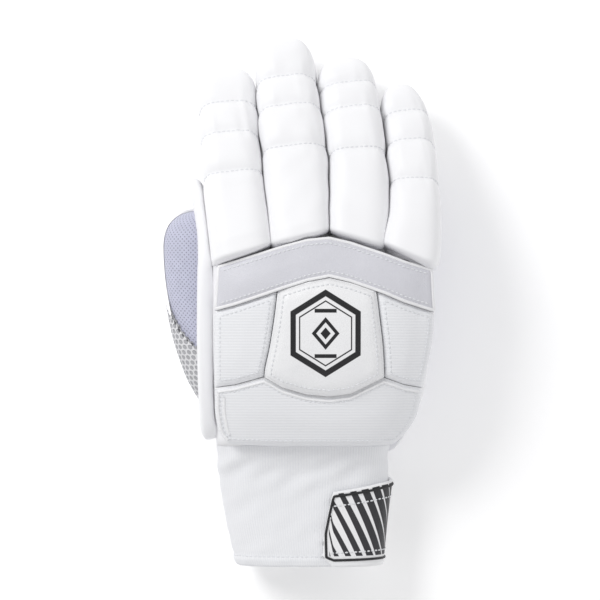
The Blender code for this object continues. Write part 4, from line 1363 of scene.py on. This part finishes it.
def dress_bars():
    """The padded bars along the hand's two sides."""
    for name, node, grid in (
        ("index_bar", "index_side_bar", bar_shape(INDEX_BAR, INDEX_BAR_HALF_WIDTH, pads_left)),
        ("little_bar", "little_side_bar", bar_shape(LITTLE_BAR, LITTLE_BAR_HALF_WIDTH)),
    ):
        cloth = Cloth()
        cloth.grid(tube_ends(grid), round_u=True)
        cloth.make(name, "white_leather", node)


STALL_MARGIN = 0.004
BUMPER_BEYOND = 0.0015
BUMPER_OVER = 0.0004
BUMPER_DEPTH = 0.0166
BUMPER_FOOT_ROUND = 0.006


def past_palm(y):
    """How far left the palm reaches over the thumb at y, as a column."""
    return hand_sides(y)[0][:, None] + STALL_MARGIN


def thumb_leather():
    """The thumb's stall, open where the palm opens into it."""
    outer, inner = thumb_rings(0.0), thumb_rings(-THUMB_WALL)
    inner[0, :, 1] += THUMB_WALL
    inner[-1, :, 1] -= THUMB_WALL
    at_foot = (THUMB_ROWS[:-1] < THUMB_MOUTH - 1e-6)[:, None]
    columns = np.arange(THUMB_ROUND)[None]
    under_palm = outer[:-1, :, 0] > past_palm(THUMB_ROWS[:-1])
    cloth = Cloth()
    cloth.sheet(outer, inner, round_u=True, keep=~(at_foot & (columns >= 6) & (columns < 24) & under_palm))
    cloth.make("thumb_leather", "lavender", "thumb_stall")


def thumb_bumper():
    """The thick pad on the thumb's back, which lies beneath; returns its sewn lines."""
    tip = THUMB_TIP + BUMPER_BEYOND
    y = THUMB_FOOT + np.concatenate([
        np.linspace(0, 0.8, 60), 1 - 0.2 * (1 - np.linspace(0, 1, 31)[1:]) ** 2.2,
    ]) * (tip - THUMB_FOOT)
    shape = dome(y, tip - 0.024, tip, TIP_POWER, 0.9999) * np.interp(y, [THUMB_FOOT, 0.088], [0.9, 1.0])
    core = thumb_rings(PAD_SEAT, np.minimum(y, THUMB_ROWS[-1]))[:, THUMB_ROUND // 2 + 1:][:, ::-1]
    core[:, :, 1] = y[:, None]
    x = smooth(y, THUMB["y"], THUMB["x"])
    line = np.stack([x, y, THUMB_Z - np.interp(y, THUMB["y"], THUMB["dip"])], axis=1)
    half = (THUMB_HALF_WIDTH + BUMPER_OVER) * shape
    foot = rise(y - THUMB_FOOT, BUMPER_FOOT_ROUND)
    height = (THUMB_HALF_HEIGHT + BUMPER_DEPTH) * np.maximum(shape, 0.12) * (0.6 + 0.4 * foot)
    level = np.ones((len(y), 1))
    across, down = level * np.array([1.0, 0.0, 0.0]), level * np.array([0.0, 0.0, -1.0])
    sections, _ = over_core(core, line, across, down, half, height)
    sections[:, :, 2] += ripple(sections[:, :, 0], sections[:, :, 1], 31, 0.014) * 0.0003
    sections[:, :, 2] = np.maximum(sections[:, :, 2], FLOOR_GAP)
    cloth = Cloth()
    cloth.grid(tube_ends(sections), round_u=True, flip=True)
    cloth.make("thumb_bumper", "white_leather", "thumb_pad")
    out = -normals(sections[:, :ROLL_COLUMNS])
    lines = [(sections[3:-10, k], out[3:-10, k]) for k in (2, ROLL_COLUMNS - 3)]
    lines.append((sections[5, 3:ROLL_COLUMNS - 3], out[5, 3:-3]))
    return lines


# The gusset's foot, the end of its lower part and its point, along the hand
GUSSET_PLACES = (0.0665, 0.0812, 0.134)
GUSSET_GAP = 0.0004


def thumb_gusset():
    """The spacer mesh round the thumb's foot, which runs out to a point along its outer side."""
    foot, low, point = GUSSET_PLACES
    y = np.concatenate([np.linspace(foot, low, 16), np.linspace(low, point, 44)[1:]])
    lower, upper = thumb_rings(GUSSET_GAP, y), thumb_rings(GUSSET_GAP + MESH_THICK, y)
    below = (y[1:] < THUMB_FOOT)[:, None]
    columns = np.arange(THUMB_ROUND)[None]
    taper = np.interp(y[1:], [low, 0.108, point], [16.0, 10.0, 0.6])[:, None]
    beside = (columns < taper) & ((upper[:-1, :, 0] < past_palm(y[:-1])) | (columns < 5))
    keep = (below & ((columns >= 30) | (columns < 3))) | beside
    cloth = Cloth()
    cloth.grid(upper, round_u=True, keep=keep)
    cloth.grid(lower, round_u=True, keep=keep, flip=True)
    cloth.make("thumb_gusset", "net", "thumb_mesh")


def dress_thumb():
    """The thumb's leather, pad and mesh; returns its sewn lines."""
    thumb_leather()
    lines = thumb_bumper()
    thumb_gusset()
    return lines


CUFF_COLUMNS = 192
HEM = 0.0046


def dress_cuff():
    """The cuff with its hem and a little slack cloth; returns the hem's sewn line."""
    y = np.concatenate([np.linspace(0, 0.004, 7), np.linspace(0.004, CUFF_LENGTH - SEAM_GAP, 40)[1:]])
    turns = np.arange(CUFF_COLUMNS) * CUFF_TURN / CUFF_COLUMNS
    outer, inner = cuff_rings(y, 0.0, turns), cuff_rings(y, -CUFF_WALL, turns)
    hem = 0.0006 * bell(y - 0.0022, 0.0016) - 0.0007 * bell(y - HEM, 0.0007)
    slack = 0.0004 + 0.0008 * bell(y - 0.050, 0.012)
    wave = ripple(outer[:, :, 0], outer[:, :, 1] * 1.6, 9, 0.018) * slack[:, None]
    outer += normals(outer, True) * (hem[:, None] + wave)[:, :, None]
    cloth = Cloth()
    cloth.sheet(outer, inner, round_u=True)
    cloth.make("cuff_sleeve", "cuff_cloth", "cuff")
    row = int(np.argmin(np.abs(y - HEM)))
    return [(closed(outer[row]), closed(normals(outer, True)[row]))]


EDGE_INSET = 2
EDGE_RADIUS = 0.00065


def around(grid):
    """The grid's points in order round it, a little in from its edge."""
    near = EDGE_INSET
    return np.concatenate([
        grid[near, near:-near], grid[near:-near, -near],
        grid[-near, -near:near:-1], grid[-near:near:-1, near],
    ])


def dress_strap():
    """The strap and its dark edge; returns its sewn lines."""
    outer, inner = strap_shape(STRAP_GAP + STRAP_THICK), strap_shape(STRAP_GAP)
    flat = flat_pattern(outer)
    flat[:, :, 0] -= flat[0, 0, 0]
    flat[:, :, 1] = outer[:, :, 1]
    cloth = Cloth()
    cloth.sheet(outer, inner, flat)
    cloth.make("wrist_strap", "strap_leather", "strap")
    out = normals(outer)
    outer[:, :, 2] = np.maximum(outer[:, :, 2], 0.0012)
    edge = Cloth()
    tube(edge, around(outer) + around(out) * 0.0001, EDGE_RADIUS, round_line=True)
    edge.make("strap_edge", "black_edge")
    return [(outer[k, 6:-6], out[k, 6:-6]) for k in (5, -6)]


LOOP = table("y x z", [
    (0.380, 0.430, 0.729), (0.362, 0.478, 0.66), (0.335, 0.500, 0.56), (0.300, 0.495, 0.48),
    (0.265, 0.470, 0.41), (0.235, 0.435, 0.365), (0.214, 0.395, 0.335),
], (L, W, H))
LOOP_HALF_WIDTH = 0.0045
LOOP_THICK = 0.0020


def dress_loop():
    """The pull loop, a tape that bows out from the hand's side to the cuff."""
    line = np.stack([LOOP["x"], LOOP["y"], LOOP["z"]], axis=1)
    known = lengths(line) / lengths(line)[-1]
    fine = np.stack([smooth(np.linspace(0, 1, 48), known, line[:, k]) for k in range(3)], axis=1)
    share = np.linspace(-1, 1, 9)
    skins = []
    for drop in (0.0, LOOP_THICK):
        offset = np.stack([share * LOOP_HALF_WIDTH, np.zeros(9), -drop - 0.0005 * (1 - share)], axis=1)
        skins.append(fine[:, None] + offset[None])
    cloth = Cloth()
    cloth.sheet(skins[0], skins[1])
    cloth.make("pull_tab", "white_leather", "vent_loop")


def dress_seams(pitch):
    """Stitches along every line that is long enough to sew."""
    stitches("stitching", [line for line in SEWN if len(line[0]) > 3], pitch)


# Stage

FILM_WIDTH = 36
CAMERA_HEIGHT = 1.6
BACK_HEIGHT = 0.04
FLOOR_HALF = 3.0
PAPER = (0.96, 0.96, 0.96)
SKY_COLOUR = (0.97, 0.97, 0.985)

# Name, place, size and share of the key light's power
LAMPS = (
    ("key", (-0.9, 0.8, 1.2), 0.7, 1.0),
    ("fill", (1.1, 0.2, 1.1), 1.2, 0.22),
    ("low", (0.1, -1.1, 0.9), 1.0, 0.15),
)


def set_stage(settings):
    """White paper under the glove, the camera straight over it, the sky and three lamps."""
    scene = bpy.context.scene
    floor = bpy.data.meshes.new("floor")
    corners = [(x * FLOOR_HALF, y * FLOOR_HALF, 0) for x, y in ((-1, -1), (1, -1), (1, 1), (-1, 1))]
    floor.from_pydata(corners, [], [(0, 1, 2, 3)])
    paper = Recipe("paper", PAPER, 0.9)
    paper.shader.inputs["Emission Color"].default_value = (1.0, 1.0, 1.0, 1.0)
    paper.shader.inputs["Emission Strength"].default_value = 0.20
    floor.materials.append(paper.material)
    thing = bpy.data.objects.new("floor", floor)
    scene.collection.objects.link(thing)
    camera = bpy.data.cameras.new("camera")
    camera.lens = FILM_WIDTH * (CAMERA_HEIGHT - BACK_HEIGHT) / settings.view_width
    camera.clip_start, camera.clip_end = 0.05, 20
    eye = bpy.data.objects.new("camera", camera)
    eye.location = (0.0, 0.0, CAMERA_HEIGHT)
    scene.collection.objects.link(eye)
    scene.camera = eye
    world = bpy.data.worlds.new("studio")
    world.use_nodes = True
    background = world.node_tree.nodes["Background"]
    background.inputs["Color"].default_value = (*SKY_COLOUR, 1.0)
    background.inputs["Strength"].default_value = settings.sky
    scene.world = world
    for name, place, size, power in LAMPS:
        light = bpy.data.lights.new(name, "AREA")
        light.shape, light.size, light.energy = "DISK", size, power * settings.key_power
        lamp = bpy.data.objects.new(name, light)
        lamp.location = place
        x, y, z = place
        lamp.rotation_euler = (np.arctan2(np.hypot(x, y), z), 0.0, np.arctan2(x, -y))
        scene.collection.objects.link(lamp)
    scene.view_settings.view_transform = "Standard"


# The add-on

SEWN = []


class GloveSettings(bpy.types.PropertyGroup):
    """Sizes and colours of the glove's dress and of the picture."""

    roll_padding: bpy.props.FloatProperty(
        name="Roll padding", description="Thickness of a finger roll over the hand",
        default=0.0150, unit="LENGTH")
    roll_groove: bpy.props.FloatProperty(
        name="Roll groove", description="Depth of a roll's sewn lines", default=0.0034, unit="LENGTH")
    pressure: bpy.props.FloatProperty(
        name="Pressure", description="How hard the rolls' padding pushes out", default=4.0)
    stitch_pitch: bpy.props.FloatProperty(
        name="Stitch pitch", description="Distance from stitch to stitch", default=0.0024, unit="LENGTH")
    rib_pitch: bpy.props.FloatProperty(
        name="Rib pitch", description="Distance from rib to rib of the cloth", default=0.0014, unit="LENGTH")
    hole_pitch: bpy.props.FloatProperty(
        name="Hole pitch", description="Distance between the palm's punched holes",
        default=0.0023, unit="LENGTH")
    band_colour: bpy.props.FloatVectorProperty(
        name="Band colour", description="Colour of the knuckle band", default=GREY, subtype="COLOR")
    palm_colour: bpy.props.FloatVectorProperty(
        name="Palm colour", description="Colour of the palm and thumb", default=LAVENDER, subtype="COLOR")
    view_width: bpy.props.FloatProperty(
        name="View width", description="Width of the picture at the glove", default=0.304, unit="LENGTH")
    key_power: bpy.props.FloatProperty(
        name="Key light", description="Power of the main light, which scales the others",
        default=12.8, unit="POWER")
    sky: bpy.props.FloatProperty(
        name="Sky", description="Strength of the even light from all round", default=0.54)


def must_dress(*nodes):
    """Stops the script unless every named node now has a piece that stands for it."""
    bare = [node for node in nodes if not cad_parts[node].hide_render]
    if bare:
        raise RuntimeError(f"no piece stands for {', '.join(bare)}")


class GLOVE_OT_materials(bpy.types.Operator):
    """Makes the leathers, cloths, suede, mesh and thread"""

    bl_idname = "glove.materials"
    bl_label = "Materials"

    def execute(self, context):
        make_materials(context.scene.glove)
        return {"FINISHED"}


class GLOVE_OT_hand(bpy.types.Operator):
    """Makes the leather of the hand and fingers, back and palm"""

    bl_idname = "glove.hand"
    bl_label = "Hand"

    def execute(self, context):
        SEWN.extend(dress_hand())
        must_dress("glove_back", "palm_leather")
        return {"FINISHED"}


class GLOVE_OT_rolls(bpy.types.Operator):
    """Makes the four padded finger rolls"""

    bl_idname = "glove.rolls"
    bl_label = "Finger rolls"

    def execute(self, context):
        SEWN.extend(dress_rolls(context.scene.glove))
        must_dress(*(f"{name}_roll" for name in FINGER_NAMES))
        return {"FINISHED"}


class GLOVE_OT_caps(bpy.types.Operator):
    """Makes the padded fronts of the fingertips"""

    bl_idname = "glove.caps"
    bl_label = "Fingertips"

    def execute(self, context):
        SEWN.extend(dress_caps())
        must_dress(*(f"{name}_cap" for name in FINGER_NAMES))
        return {"FINISHED"}


class GLOVE_OT_pads(bpy.types.Operator):
    """Makes the knuckle band, the pads of the back and their piping"""

    bl_idname = "glove.pads"
    bl_label = "Pads"

    def execute(self, context):
        SEWN.extend(dress_pads())
        must_dress(*(pad[0] for pad in PADS))
        return {"FINISHED"}


class GLOVE_OT_bars(bpy.types.Operator):
    """Makes the padded bars along the hand's sides"""

    bl_idname = "glove.bars"
    bl_label = "Side bars"

    def execute(self, context):
        dress_bars()
        must_dress("index_side_bar", "little_side_bar")
        return {"FINISHED"}


class GLOVE_OT_thumb(bpy.types.Operator):
    """Makes the thumb's leather, its thick pad and its mesh gusset"""

    bl_idname = "glove.thumb"
    bl_label = "Thumb"

    def execute(self, context):
        SEWN.extend(dress_thumb())
        must_dress("thumb_stall", "thumb_pad", "thumb_mesh")
        return {"FINISHED"}


class GLOVE_OT_cuff(bpy.types.Operator):
    """Makes the ribbed cuff with its hem"""

    bl_idname = "glove.cuff"
    bl_label = "Cuff"

    def execute(self, context):
        SEWN.extend(dress_cuff())
        must_dress("cuff")
        return {"FINISHED"}


class GLOVE_OT_strap(bpy.types.Operator):
    """Makes the printed closing strap with its dark edge"""

    bl_idname = "glove.strap"
    bl_label = "Strap"

    def execute(self, context):
        SEWN.extend(dress_strap())
        must_dress("strap")
        return {"FINISHED"}


class GLOVE_OT_loop(bpy.types.Operator):
    """Makes the pull loop at the wrist"""

    bl_idname = "glove.loop"
    bl_label = "Pull loop"

    def execute(self, context):
        dress_loop()
        must_dress("vent_loop")
        return {"FINISHED"}


class GLOVE_OT_stitches(bpy.types.Operator):
    """Sews every line that the other steps left"""

    bl_idname = "glove.stitches"
    bl_label = "Stitches"

    def execute(self, context):
        if not SEWN:
            raise RuntimeError("the stitches come after the pieces they sew")
        dress_seams(context.scene.glove.stitch_pitch)
        return {"FINISHED"}


class GLOVE_OT_stage(bpy.types.Operator):
    """Sets the floor, the lights and the camera over the glove"""

    bl_idname = "glove.stage"
    bl_label = "Stage"

    def execute(self, context):
        set_stage(context.scene.glove)
        return {"FINISHED"}


STEPS = (
    GLOVE_OT_materials, GLOVE_OT_hand, GLOVE_OT_rolls, GLOVE_OT_caps, GLOVE_OT_pads, GLOVE_OT_bars,
    GLOVE_OT_thumb, GLOVE_OT_cuff, GLOVE_OT_strap, GLOVE_OT_loop, GLOVE_OT_stitches, GLOVE_OT_stage,
)


class GLOVE_PT_sidebar(bpy.types.Panel):
    """Lists the glove's settings and steps"""

    bl_idname = "GLOVE_PT_sidebar"
    bl_label = "Batting Glove"
    bl_space_type = "VIEW_3D"
    bl_region_type = "UI"
    bl_category = "Glove"

    def draw(self, context):
        for name in GloveSettings.__annotations__:
            self.layout.prop(context.scene.glove, name)
        for step in STEPS:
            self.layout.operator(step.bl_idname)


def register():
    for kind in (GloveSettings, *STEPS, GLOVE_PT_sidebar):
        bpy.utils.register_class(kind)
    bpy.types.Scene.glove = bpy.props.PointerProperty(type=GloveSettings)


def unregister():
    del bpy.types.Scene.glove
    for kind in (GLOVE_PT_sidebar, *reversed(STEPS), GloveSettings):
        bpy.utils.unregister_class(kind)


def main():
    register()
    SEWN.clear()
    for step in (
        bpy.ops.glove.materials, bpy.ops.glove.hand, bpy.ops.glove.rolls, bpy.ops.glove.caps,
        bpy.ops.glove.pads, bpy.ops.glove.bars, bpy.ops.glove.thumb, bpy.ops.glove.cuff,
        bpy.ops.glove.strap, bpy.ops.glove.loop, bpy.ops.glove.stitches, bpy.ops.glove.stage,
    ):
        step()


if __name__ == "__main__":
    main()
